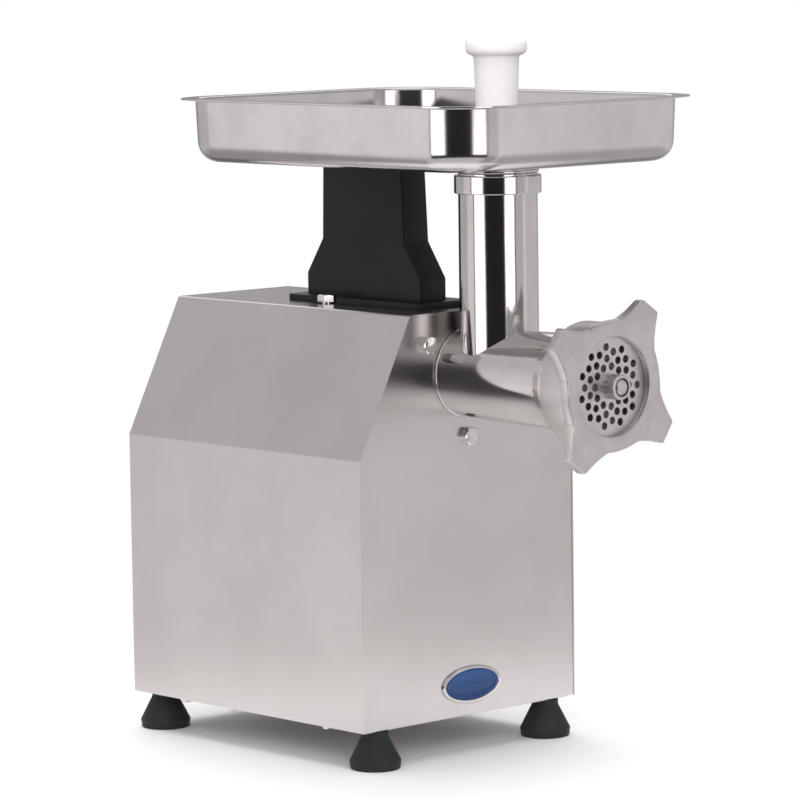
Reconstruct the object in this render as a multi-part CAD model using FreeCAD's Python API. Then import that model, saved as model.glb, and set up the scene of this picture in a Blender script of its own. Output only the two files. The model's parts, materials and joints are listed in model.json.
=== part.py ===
import FreeCAD, Part
import math
import os

# Electric meat grinder. Millimetres, +Z up, origin on the floor under the middle of the whole machine.
# The head points along -Y, the controls are on the rear panel at +Y, and X is across.

# shell
body_width = 225.0
body_front = -60.3
body_rear = 210.9
shell_bottom = 30.4
fold_height = 236.6
shell_top = 342.5
top_width = 117.5
sheet = 1.2
sheet_gap = 0.05
fold_radius = 3.0
panel_recess = 0.4
panel_flange = 12.0
return_flange = 14.0
panel_face = body_front + panel_recess

# feet
foot_height = shell_bottom - sheet
foot_inset_x = 22.0
foot_inset_y = 11.4
foot_radius = 19.75
foot_neck_radius = 10.4

# head
head_z = 294.7
tube_y = -95.7
tube_radius = 30.0
tube_bore = 27.0
tube_top = 447.0
collar_bottom = 433.2
collar_radius = 33.0
barrel_bore = 31.0
barrel_rear_radius = 33.8
barrel_front_radius = 36.8
flare_start = -168.0
thread_start = -184.0
thread_radius = 44.0
thread_pitch = 4.0
thread_depth = 1.1
barrel_end = -209.0
seat_shoulder = -203.0
seat_radius = 41.3
shank_radius = 28.0
shank_rear = -44.0
key_radius = 1.8

# cutting plate and ring nut
plate_rear = -203.3
plate_front = -211.3
plate_radius = 41.0
plate_hole_radius = 2.9
holes_per_ring = 11
hole_rings = ((14.9, 15.3), (20.8, 30.9), (25.7, 14.5), (29.5, 30.5))
hub_radius = 9.35
hub_front = -224.6
pin_radius = 5.6
running_gap = 0.06
moving_gap = 0.3
nut_front = -216.9
nut_opening = 37.0
nut_skirt_radius = 47.0
nut_rear = -184.7
lug_thickness = 8.7
lug_count = 4
lug_angle = 55.5
lug_tip_radius = 69.8
lug_tip_half_angle = 8.0
lug_side_point = (13.5, 59.6)
lug_root_point = (26.0, 49.4)
lug_valley_radius = 48.4

# feed pan
pan_half_x = 134.1
pan_half_y = 172.1
pan_y = -25.7
pan_rim = 504.1
pan_bottom = 455.0
pan_flange = 11.0
pan_sheet = 1.0
pan_hem = 2.0
pan_draft = 1.6
pan_wall_corner = 41.0
pan_rim_corner = 52.0
pan_bottom_radius = 15.0
spigot_outer = 26.5
spigot_inner = 25.4
spigot_bottom = 420.0
bead_radius = 29.8

# stomper
stomper_top = 549.8
stomper_bottom = 327.0
knob_radius = 23.0
knob_height = 13.0

# pan support
support_half_x = 13.75
support_y = 41.8
support_bolt_y = 67.3
support_bolt_x = 28.5

# gear train, all axes along Y
wheel_module = 1.5
output_teeth = 52
pinion_teeth = 14
motor_module = 1.25
intermediate_teeth = 60
motor_teeth = 12
pressure_angle = math.radians(25.0)
backlash = 0.12
output_mesh_direction = -45.0
gear_wall_front = -39.1
gear_wall_inner = -27.1
gear_cover_inner = 10.9
gear_cover_rear = 18.9
casting_wall = 4.0

output_centre_distance = wheel_module * (output_teeth + pinion_teeth) / 2
motor_centre_distance = motor_module * (intermediate_teeth + motor_teeth) / 2
mesh_angle = math.radians(output_mesh_direction)
layshaft_x = output_centre_distance * math.cos(mesh_angle)
layshaft_z = head_z + output_centre_distance * math.sin(mesh_angle)
motor_z = layshaft_z - math.sqrt(motor_centre_distance ** 2 - layshaft_x ** 2)
motor_mesh_direction = math.degrees(math.atan2(motor_z - layshaft_z, -layshaft_x))

# motor
motor_radius = 66.0
motor_bore = 60.0
motor_rear = 138.9
bell_rear = 146.9
cowl_rear = 170.0
rotor_radius = 34.0
stator_bore = 34.5
stator_slots = 24
shaft_radius = 8.0

# rear controls
switch_x = -48.0
switch_z = 262.0
rocker_radius = 12.0
rocker_half_width = 9.6
button_x = 48.0
button_z = 262.0
button_radius = 5.5
button_travel = 2.5
gland_x = -70.0
gland_z = 62.0
rear_face = body_rear - panel_recess
rear_inside = rear_face - sheet

screw_radius = 1.9
foot_screw_radius = 2.5
bolt_flats = 13.0
bolt_head = 5.5
bolt_radius = 4.0
head_bolt_circle = 48.5
head_bolt_angles = (30.0, 150.0, 270.0)

x_axis = FreeCAD.Vector(1, 0, 0)
y_axis = FreeCAD.Vector(0, 1, 0)
z_axis = FreeCAD.Vector(0, 0, 1)


def vec(x, y, z):
    return FreeCAD.Vector(x, y, z)


def block(x0, x1, y0, y1, z0, z1):
    return Part.makeBox(x1 - x0, y1 - y0, z1 - z0, vec(x0, y0, z0))


def rod_y(radius, y0, y1, x=0.0, z=head_z):
    return Part.makeCylinder(radius, y1 - y0, vec(x, y0, z), y_axis)


def rod_z(radius, z0, z1, x, y):
    return Part.makeCylinder(radius, z1 - z0, vec(x, y, z0), z_axis)


def ring_y(outer, inner, y0, y1, x=0.0, z=head_z):
    return rod_y(outer, y0, y1, x, z).cut(rod_y(inner, y0 - 1, y1 + 1, x, z))


def turned_y(points, x=0.0, z=head_z):
    """Solid of revolution about a line along Y. Points are (radius, y)."""
    corners = [vec(x + r, y, z) for r, y in points]
    face = Part.Face(Part.makePolygon(corners + corners[:1]))
    return face.revolve(vec(x, 0, z), y_axis, 360)


def turned_z(points, x, y):
    """Solid of revolution about a line along Z. Points are (radius, z)."""
    corners = [vec(x + r, y, z) for r, z in points]
    face = Part.Face(Part.makePolygon(corners + corners[:1]))
    return face.revolve(vec(x, y, 0), z_axis, 360)


def prism(corners, direction):
    """Closed polygon pushed along a direction."""
    return Part.Face(Part.makePolygon(corners + corners[:1])).extrude(direction)


def joined(shapes):
    whole = shapes[0].multiFuse(shapes[1:])
    return whole.removeSplitter()


def edges_where(shape, test):
    return [edge for edge in shape.Edges if test(edge)]


def along(edge, axis):
    """True where a straight edge runs along the axis."""
    if not isinstance(edge.Curve, Part.Line):
        return False
    return abs(edge.tangentAt(edge.FirstParameter).dot(axis)) > 0.999


def polar(radius, degrees, y, x=0.0, z=head_z):
    """Point at an angle in a plane across Y, counted from +X towards +Z."""
    angle = math.radians(degrees)
    return vec(x + radius * math.cos(angle), y, z + radius * math.sin(angle))


def rounded_slab(half_x, half_y, corner, z0, z1, y=0.0):
    slab = block(-half_x, half_x, y - half_y, y + half_y, z0, z1)
    return slab.makeFillet(corner, edges_where(slab, lambda e: along(e, z_axis)))


def hex_prism(flats, centre, direction):
    """Hexagonal bar from a centre point along a direction, whose length is the bar's."""
    corner_radius = flats / math.sqrt(3)
    unit = FreeCAD.Vector(direction)
    unit.normalize()
    side = z_axis if abs(unit.dot(z_axis)) < 0.5 else x_axis
    other = unit.cross(side)
    corners = []
    for i in range(6):
        angle = math.radians(60 * i + 30)
        offset = side * (corner_radius * math.cos(angle)) + other * (corner_radius * math.sin(angle))
        corners.append(centre + offset)
    return prism(corners, direction)


def hex_bolt(seat, outward, flats, head, radius, length):
    """Bolt with its head standing outward from the seat, its crown turned to a chamfer."""
    hexagon = hex_prism(flats, seat, outward * head)
    crown = Part.makeCone(flats * 0.5 + head * 1.55, flats * 0.47, head, seat, outward)
    shank = Part.makeCylinder(radius, length, seat, outward * -1)
    return hexagon.common(crown).fuse(shank).removeSplitter()


def pan_screw(seat, outward, head_radius, head, radius, length):
    """Cross-recess screw with a rounded head standing outward from the seat."""
    top = Part.makeCylinder(head_radius, head, seat, outward)
    rim = [e for e in top.Edges if (e.CenterOfMass - seat).dot(outward) > head * 0.9 and e.Closed]
    top = top.makeFillet(head * 0.45, rim)
    shank = Part.makeCylinder(radius, length, seat, outward * -1)
    side = z_axis if abs(outward.dot(z_axis)) < 0.5 else x_axis
    other = outward.cross(side)
    slot_centre = seat + outward * (head * 0.45)
    screw = top.fuse(shank)
    for first, second in ((side, other), (other, side)):
        start = slot_centre - first * (head_radius * 0.6) - second * 0.5
        corners = [start, start + first * (head_radius * 1.2)]
        corners.append(corners[1] + second)
        corners.append(start + second)
        screw = screw.cut(prism(corners, outward * head))
    return screw


def save(name, shape):
    shape.exportStep("parts/" + name + ".step")
    print(name, "solids", len(shape.Solids), "volume", round(shape.Volume), "valid", shape.isValid())


def save_group(name, shapes):
    save(name, Part.makeCompound(shapes))


# shell outline

def shell_outline(inset, y):
    """Hexagon across the body, moved inwards by an inset on the sides, shoulders and top."""
    half = body_width / 2
    half_top = top_width / 2
    run = half - half_top
    rise = shell_top - fold_height
    slope = math.hypot(run, rise)
    nx = rise / slope
    nz = run / slope
    limit = nx * half + nz * fold_height - inset
    side = half - inset
    top = shell_top - inset
    fold = (limit - nx * side) / nz
    shoulder = (limit - nz * top) / nx
    return [
        vec(-side, y, shell_bottom),
        vec(-side, y, fold),
        vec(-shoulder, y, top),
        vec(shoulder, y, top),
        vec(side, y, fold),
        vec(side, y, shell_bottom),
    ]


def shell_block(inset, y0, y1, radius):
    solid = prism(shell_outline(inset, y0), vec(0, y1 - y0, 0))
    bends = edges_where(solid, lambda e: along(e, y_axis) and e.CenterOfMass.z > shell_bottom + 1)
    return solid.makeFillet(radius, bends)


def tray_screw_places():
    x = body_width / 2 - 8.0
    rows = (body_front + 50, body_rear / 2 - 5, body_rear - 55)
    return [(side * x, y) for side in (-1, 1) for y in rows]


def panel_screw_places():
    spots = ((100.0, 60.0), (100.0, 200.0), (52.0, 322.0))
    return [(side * x, z) for side in (-1, 1) for x, z in spots]


def tray_screw_holes():
    return [rod_z(screw_radius + 0.1, foot_height - 1, shell_bottom + 3, x, y)
            for x, y in tray_screw_places()]


def side_cover():
    outer = shell_block(0, body_front, body_rear, fold_radius)
    inner = shell_block(sheet, body_front - 1, body_rear + 1, fold_radius - sheet)
    cover = outer.cut(inner)
    half = body_width / 2
    flanges = []
    for side in (-1, 1):
        edge = side * (half - sheet / 2)
        tip = side * (half - return_flange)
        flanges.append(block(min(edge, tip), max(edge, tip), body_front + sheet * 2 + panel_flange,
                             body_rear - sheet * 2 - panel_flange, shell_bottom, shell_bottom + sheet))
    cover = joined([cover] + flanges)
    for x in (-support_bolt_x, support_bolt_x):
        cover = cover.cut(rod_z(bolt_radius + 0.2, shell_top - 5, shell_top + 5, x, support_bolt_y))
    cover = cover.cut(Part.makeCompound(tray_screw_holes()))
    save("side_cover", cover)


def end_panel(face, inward):
    """Folded panel that fits inside the cover, flanges turned into the body."""
    gap = sheet + sheet_gap
    depth = face + inward * panel_flange
    outer = shell_block(gap, min(face, depth), max(face, depth), fold_radius - sheet)
    start = face + inward * sheet
    stop = face + inward * (panel_flange + 1)
    hollow = shell_block(gap + sheet, min(start, stop), max(start, stop), 1.0)
    return outer.cut(hollow)


def front_panel():
    panel = end_panel(panel_face, 1)
    panel = panel.cut(rod_y(shank_radius + 2, panel_face - 1, panel_face + 3))
    for angle in head_bolt_angles:
        centre = polar(head_bolt_circle, angle, 0)
        panel = panel.cut(rod_y(bolt_radius + 0.2, panel_face - 1, panel_face + 3, centre.x, centre.z))
    save("front_panel", panel)


def rear_panel():
    panel = end_panel(rear_face, -1)
    holes = [block(switch_x - 12.5, switch_x + 12.5, rear_inside - 1, rear_face + 1,
                   switch_z - 15.5, switch_z + 15.5)]
    holes.append(rod_y(8.2, rear_inside - 1, rear_face + 1, button_x, button_z))
    holes.append(rod_y(8.2, rear_inside - 1, rear_face + 1, gland_x, gland_z))
    for x, z in panel_screw_places():
        holes.append(rod_y(screw_radius + 0.1, rear_inside - 1, rear_face + 1, x, z))
    slot_length = 52.0
    slot_height = 4.0
    slot_pitch = 11.0
    for column in (-32.0, 32.0):
        for row in range(9):
            z = 104.0 + slot_pitch * row
            slot = block(column - slot_length / 2, column + slot_length / 2, rear_inside - 1, rear_face + 1,
                         z, z + slot_height)
            ends = edges_where(slot, lambda e: along(e, y_axis))
            holes.append(slot.makeFillet(slot_height * 0.48, ends))
    panel = panel.cut(Part.makeCompound(holes))
    save("rear_panel", panel)


def base_tray():
    half = body_width / 2 - 4.0
    tray = block(-half, half, body_front + 4.0, body_rear - 8.0, foot_height, shell_bottom)
    half_rib = half - return_flange
    ribs = []
    for side in (-1, 1):
        x = side * half_rib
        ribs.append(block(x - sheet / 2, x + sheet / 2, body_front + 30, body_rear - 30,
                          foot_height, shell_bottom + 12))
    tray = joined([tray] + ribs)
    slots = []
    for column in (-44.0, 0.0, 44.0):
        for row in range(8):
            y = 10.0 + 20.0 * row
            slots.append(block(column - 15, column + 15, y, y + 5, foot_height - 1, shell_bottom + 1))
    for x, y in foot_places().values():
        slots.append(rod_z(foot_screw_radius + 0.1, foot_height - 1, shell_bottom + 1, x, y))
    slots += tray_screw_holes()
    save("base_tray", tray.cut(Part.makeCompound(slots)))


def foot_places():
    x = body_width / 2 - foot_inset_x
    front = body_front + foot_inset_y
    rear = body_rear - foot_inset_y
    return {
        "foot_front_left": (-x, front),
        "foot_front_right": (x, front),
        "foot_rear_left": (-x, rear),
        "foot_rear_right": (x, rear),
    }


def feet():
    profile = [
        (foot_screw_radius, 0.0),
        (foot_radius - 1.4, 0.0),
        (foot_radius - 0.6, 0.8),
        (foot_radius, 6.5),
        (foot_neck_radius + 0.6, 23.4),
        (foot_neck_radius, 25.0),
        (foot_neck_radius, foot_height),
        (foot_screw_radius, foot_height),
    ]
    recess_depth = 14.0
    screws = []
    for name, (x, y) in foot_places().items():
        foot = turned_z(profile, x, y).cut(rod_z(6.5, -1, recess_depth, x, y))
        save(name, foot)
        screws.append(pan_screw(vec(x, y, recess_depth), z_axis * -1, 5.0, 3.2, foot_screw_radius, 22.0))
    save_group("foot_screws", screws)


def cover_screws():
    screws = [pan_screw(vec(x, y, foot_height), z_axis * -1, 3.6, 2.2, screw_radius, 6.0)
              for x, y in tray_screw_places()]
    screws += [pan_screw(vec(x, rear_face, z), y_axis, 3.6, 2.2, screw_radius, 8.0)
               for x, z in panel_screw_places()]
    save_group("cover_screws", screws)


def oval_block(half_x, half_z, y0, y1, z):
    ellipse = Part.Ellipse(vec(0, y0, z), half_x, half_z).toShape()
    ellipse.rotate(vec(0, y0, z), x_axis, 90)
    return Part.Face(Part.Wire([ellipse])).extrude(vec(0, y1 - y0, 0))


def badge():
    z = 53.8
    rim_front = panel_face - 2.0
    rim = oval_block(30.5, 14.5, rim_front, panel_face, z)
    rim = rim.cut(oval_block(28.2, 12.2, rim_front - 1, panel_face + 1, z))
    save("badge_rim", rim)
    field = oval_block(28.2, 12.2, panel_face - 1.3, panel_face, z)
    front = edges_where(field, lambda e: e.Closed and e.CenterOfMass.y < panel_face - 1)
    save("oval_badge", field.makeFillet(0.5, front))


# head

def head_casting():
    barrel = turned_y([
        (0, panel_face),
        (barrel_rear_radius, panel_face),
        (barrel_front_radius, flare_start),
        (barrel_front_radius + 0.8, flare_start - 6),
        (thread_radius - 0.6, thread_start + 1.5),
        (thread_radius, thread_start),
        (thread_radius, barrel_end + 1),
        (thread_radius - 1, barrel_end),
        (0, barrel_end),
    ])
    shank = rod_y(shank_radius, panel_face - 1, shank_rear)
    tube = rod_z(tube_radius, head_z, tube_top, 0, tube_y)
    collar = rod_z(collar_radius, collar_bottom, tube_top, 0, tube_y)
    rims = edges_where(collar, lambda e: e.Closed)
    collar = collar.makeFillet(0.9, rims)
    body = joined([barrel, shank, tube, collar])
    bore = turned_y([
        (0, panel_face - 6),
        (barrel_bore, panel_face - 6),
        (barrel_bore, -188.0),
        (39.3, -191.0),
        (39.3, seat_shoulder),
        (seat_radius, seat_shoulder),
        (seat_radius, barrel_end - 1),
        (0, barrel_end - 1),
    ])
    body = body.cut(bore)
    body = body.cut(rod_y(14.4, panel_face - 8, shank_rear + 1))
    body = body.cut(rod_z(tube_bore, head_z, tube_top + 1, 0, tube_y))
    grooves = []
    turns = int((thread_start - seat_shoulder) / thread_pitch)
    for i in range(turns):
        y = thread_start - thread_pitch * (i + 0.9)
        grooves.append(turned_y([
            (thread_radius + 0.2, y - 1.4),
            (thread_radius + 0.2, y + 1.4),
            (thread_radius - thread_depth, y + 0.4),
            (thread_radius - thread_depth, y - 0.4),
        ]))
    body = body.cut(Part.makeCompound(grooves))
    key_y = seat_shoulder - 3.4
    save("head_casting", body.cut(rod_z(key_radius, head_z + 38, head_z + 46, 0, key_y)))
    save("plate_key", rod_z(key_radius, head_z + 38.8, head_z + thread_radius - 0.4, 0, key_y))


def head_socket():
    front = panel_face + sheet
    ring = rod_y(40.0, front, gear_wall_front)
    lugs = []
    for angle in head_bolt_angles:
        centre = polar(head_bolt_circle, angle, 0)
        lugs.append(rod_y(9.0, front, gear_wall_front, centre.x, centre.z))
    socket = joined([ring] + lugs)
    socket = socket.cut(rod_y(shank_radius, front - 1, gear_wall_front + 1))
    bolts = []
    for angle in head_bolt_angles:
        centre = polar(head_bolt_circle, angle, 0)
        socket = socket.cut(rod_y(bolt_radius, front - 1, gear_wall_front + 1, centre.x, centre.z))
        bolts.append(hex_bolt(vec(centre.x, panel_face, centre.z), y_axis * -1, bolt_flats, bolt_head,
                              bolt_radius, gear_wall_front - panel_face + 9))
    save("head_socket", socket)
    save_group("head_bolts", bolts)


def cutting_plate():
    disc = rod_y(plate_radius, plate_front, plate_rear)
    rims = edges_where(disc, lambda e: e.Closed)
    disc = disc.makeFillet(0.5, rims)
    hub = rod_y(hub_radius, hub_front, plate_rear - 1)
    front = edges_where(hub, lambda e: e.Closed and e.CenterOfMass.y < hub_front + 1)
    hub = hub.makeFillet(0.9, front)
    plate = joined([disc, hub])
    holes = [rod_y(pin_radius + running_gap, hub_front - 1, plate_rear + 1)]
    holes.append(rod_y(pin_radius + 1.5, hub_front - 1, hub_front + 5))
    for radius, first in hole_rings:
        for i in range(holes_per_ring):
            centre = polar(radius, first + 360.0 * i / holes_per_ring, 0)
            holes.append(rod_y(plate_hole_radius, plate_front - 1, plate_rear + 1, centre.x, centre.z))
    holes.append(block(-2.4, 2.4, plate_front - 1, plate_rear + 1,
                       head_z + 38.4, head_z + plate_radius + 1))
    save("cutting_plate", plate.cut(Part.makeCompound(holes)))


def lug_outline(y, shrink=0.0):
    """Star outline with flat tips, concave sides and shallow valleys, drawn in by a shrink."""
    edges = []
    pitch = 360.0 / lug_count
    side_angle, side_radius = lug_side_point
    root_angle, root_radius = lug_root_point
    for i in range(lug_count):
        middle = lug_angle + pitch * i
        start = polar(lug_tip_radius - shrink, middle - lug_tip_half_angle, y)
        stop = polar(lug_tip_radius - shrink, middle + lug_tip_half_angle, y)
        side = polar(side_radius - shrink, middle + side_angle, y)
        root = polar(root_radius - shrink, middle + root_angle, y)
        valley = polar(lug_valley_radius - shrink, middle + pitch / 2, y)
        next_root = polar(root_radius - shrink, middle + pitch - root_angle, y)
        next_side = polar(side_radius - shrink, middle + pitch - side_angle, y)
        next_start = polar(lug_tip_radius - shrink, middle + pitch - lug_tip_half_angle, y)
        edges.append(Part.LineSegment(start, stop).toShape())
        edges.append(Part.Arc(stop, side, root).toShape())
        edges.append(Part.Arc(root, valley, next_root).toShape())
        edges.append(Part.Arc(next_root, next_side, next_start).toShape())
    return Part.Wire(edges)


def ring_nut():
    bevel = 0.8
    plate = Part.Face(lug_outline(nut_front + bevel)).extrude(vec(0, lug_thickness - bevel, 0))
    front = Part.makeLoft([lug_outline(nut_front, bevel), lug_outline(nut_front + bevel)], True, True)
    star = joined([plate, front])
    skirt = turned_y([
        (0, nut_rear),
        (nut_skirt_radius - 1.8, nut_rear),
        (nut_skirt_radius, nut_rear - 2.5),
        (nut_skirt_radius, nut_front + lug_thickness),
        (0, nut_front + lug_thickness),
    ])
    nut = joined([star, skirt])
    lip_rear = plate_front - moving_gap
    nut = nut.cut(turned_y([
        (0, nut_rear + 1),
        (thread_radius + moving_gap, nut_rear + 1),
        (thread_radius + moving_gap, lip_rear),
        (nut_opening, lip_rear),
        (nut_opening, nut_front + 0.8),
        (nut_opening + 0.8, nut_front - 0.01),
        (nut_opening + 0.8, nut_front - 1),
        (0, nut_front - 1),
    ]))
    save("ring_nut", nut)


# driven parts in the barrel

def auger():
    rear = panel_face - 7.0
    front = -195.0
    length = rear - front
    pitch = 38.0
    core_radius = 11.5
    flight_radius = barrel_bore - 0.5
    helix = Part.makeHelix(pitch, length - 4, flight_radius - 8)
    corners = [
        vec(core_radius - 1.5, 0, -3.4),
        vec(flight_radius + 0.5, 0, -1.9),
        vec(flight_radius + 0.5, 0, 1.9),
        vec(core_radius - 1.5, 0, 3.4),
    ]
    profile = Part.makePolygon(corners + corners[:1])
    flight = Part.Wire(helix.Edges).makePipeShell([profile], True, True)
    envelope = Part.makeCylinder(flight_radius, length, vec(0, 0, 0), z_axis)
    flight = flight.common(envelope)
    core = Part.makeCone(core_radius + 1.5, core_radius, length, vec(0, 0, 0), z_axis)
    screw = flight.fuse(core)
    screw.rotate(vec(0, 0, 0), x_axis, 90)
    screw.translate(vec(0, rear, head_z))
    shank = rod_y(14.0, rear - 1, panel_face + 0.5)
    drive_end = block(-7.0, 7.0, panel_face, gear_wall_front + 6, head_z - 7.0, head_z + 7.0)
    screw = joined([screw, shank, drive_end])
    screw = screw.cut(rod_y(4.0, front - 1, front + 25))
    save("auger", screw)
    save("thrust_washer", ring_y(22.0, 14.0, rear, panel_face - 6.3))
    return front


def knife_and_stud(auger_front):
    knife_front = plate_rear + 0.1
    half_square = 6.5
    hub = rod_y(14.0, knife_front, auger_front)
    blades = [hub]
    for i in range(4):
        turn = 90.0 * i
        corners = [polar(9.0, turn - 50, knife_front), polar(38.0, turn - 8, knife_front),
                   polar(38.5, turn + 9, knife_front), polar(11.0, turn + 40, knife_front)]
        blades.append(prism(corners, vec(0, 4.5, 0)))
    knife = joined(blades)
    knife = knife.cut(block(-half_square, half_square, knife_front - 1, auger_front + 1,
                            head_z - half_square, head_z + half_square))
    save("knife", knife)
    square = block(-half_square, half_square, knife_front, auger_front,
                   head_z - half_square, head_z + half_square)
    tail = rod_y(4.0, auger_front, auger_front + 24)
    pin = turned_y([
        (0, knife_front),
        (pin_radius, knife_front),
        (pin_radius, hub_front + 0.5),
        (pin_radius - 0.8, hub_front - 0.3),
        (0, hub_front - 0.3),
    ])
    save("auger_stud", joined([square, tail, pin]))


# gear train

def gear(teeth, module, y0, y1, phase, x, z):
    """Spur gear with involute teeth. A tooth stands at the phase angle."""
    pitch_radius = module * teeth / 2
    base = pitch_radius * math.cos(pressure_angle)
    tip = pitch_radius + 0.95 * module
    root = pitch_radius - 1.25 * module
    start = max(base, root)
    flank_points = 5
    involute = math.tan(pressure_angle) - pressure_angle
    half_pitch = math.pi / (2 * teeth) - backlash / (2 * pitch_radius)

    def half_angle(radius):
        roll = math.acos(min(1.0, base / radius))
        return math.degrees(half_pitch + involute - (math.tan(roll) - roll))

    edges = []
    step = 360.0 / teeth
    radii = [start + (tip - start) * i / (flank_points - 1) for i in range(flank_points)]
    for i in range(teeth):
        centre = phase + step * i
        rising = [polar(r, centre - half_angle(r), y0, x, z) for r in radii]
        falling = [polar(r, centre + half_angle(r), y0, x, z) for r in reversed(radii)]
        next_rise = centre + step - half_angle(start)
        root_start = polar(root, centre + half_angle(start), y0, x, z)
        root_stop = polar(root, next_rise, y0, x, z)
        root_middle = polar(root, centre + step / 2, y0, x, z)
        for points in (rising, falling):
            curve = Part.BSplineCurve()
            curve.interpolate(points)
            edges.append(curve.toShape())
            if points is rising:
                edges.append(Part.Arc(rising[-1], polar(tip, centre, y0, x, z), falling[0]).toShape())
        if root < start:
            edges.append(Part.LineSegment(falling[-1], root_start).toShape())
            edges.append(Part.Arc(root_start, root_middle, root_stop).toShape())
            edges.append(Part.LineSegment(root_stop, polar(start, next_rise, y0, x, z)).toShape())
        else:
            edges.append(Part.Arc(falling[-1], root_middle, root_stop).toShape())
    return Part.Face(Part.Wire(edges)).extrude(vec(0, y1 - y0, 0))


def output_train():
    wheel_rear = gear_wall_inner + 19.5
    wheel = gear(output_teeth, wheel_module, gear_wall_inner + 1.5, wheel_rear,
                 output_mesh_direction, 0, head_z)
    save("output_wheel", wheel.cut(rod_y(11.0, gear_wall_inner, wheel_rear + 1)))
    shaft = turned_y([
        (0, gear_wall_front + 0.3),
        (12.5, gear_wall_front + 0.3),
        (12.5, gear_wall_inner + 0.5),
        (11.0, gear_wall_inner + 0.5),
        (11.0, wheel_rear),
        (8.5, wheel_rear),
        (8.5, gear_cover_rear - 1),
        (0, gear_cover_rear - 1),
    ])
    socket = block(-7.0, 7.0, gear_wall_front, gear_wall_front + 12, head_z - 7.0, head_z + 7.0)
    save("output_shaft", shaft.cut(socket))


def intermediate_train():
    wheel_front = gear_wall_inner + 23.0
    wheel_rear = wheel_front + 12.0
    phase = motor_mesh_direction
    wheel = gear(intermediate_teeth, motor_module, wheel_front, wheel_rear, phase, layshaft_x, layshaft_z)
    wheel = wheel.cut(rod_y(8.0, wheel_front - 1, wheel_rear + 1, layshaft_x, layshaft_z))
    save("intermediate_wheel", wheel)
    pinion_phase = output_mesh_direction + 180 + 180.0 / pinion_teeth
    pinion = gear(pinion_teeth, wheel_module, gear_wall_inner + 1, wheel_front - 1.5, pinion_phase,
                  layshaft_x, layshaft_z)
    shaft = turned_y([
        (0, gear_wall_front + 4.5),
        (6.0, gear_wall_front + 4.5),
        (6.0, gear_wall_inner + 1),
        (8.0, gear_wall_inner + 1),
        (8.0, wheel_rear),
        (6.0, wheel_rear),
        (6.0, gear_cover_rear - 2),
        (0, gear_cover_rear - 2),
    ], layshaft_x, layshaft_z)
    save("intermediate_shaft", joined([shaft, pinion]))


def bearing(outer, bore, y0, y1, x, z):
    """Sealed ball bearing with a shallow shield groove in each face."""
    race = ring_y(outer, bore, y0, y1, x, z)
    inner = bore + (outer - bore) * 0.3
    rim = outer - (outer - bore) * 0.3
    for start, stop in ((y0 - 1, y0 + 0.5), (y1 - 0.5, y1 + 1)):
        race = race.cut(ring_y(rim, inner, start, stop, x, z))
    return race


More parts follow.
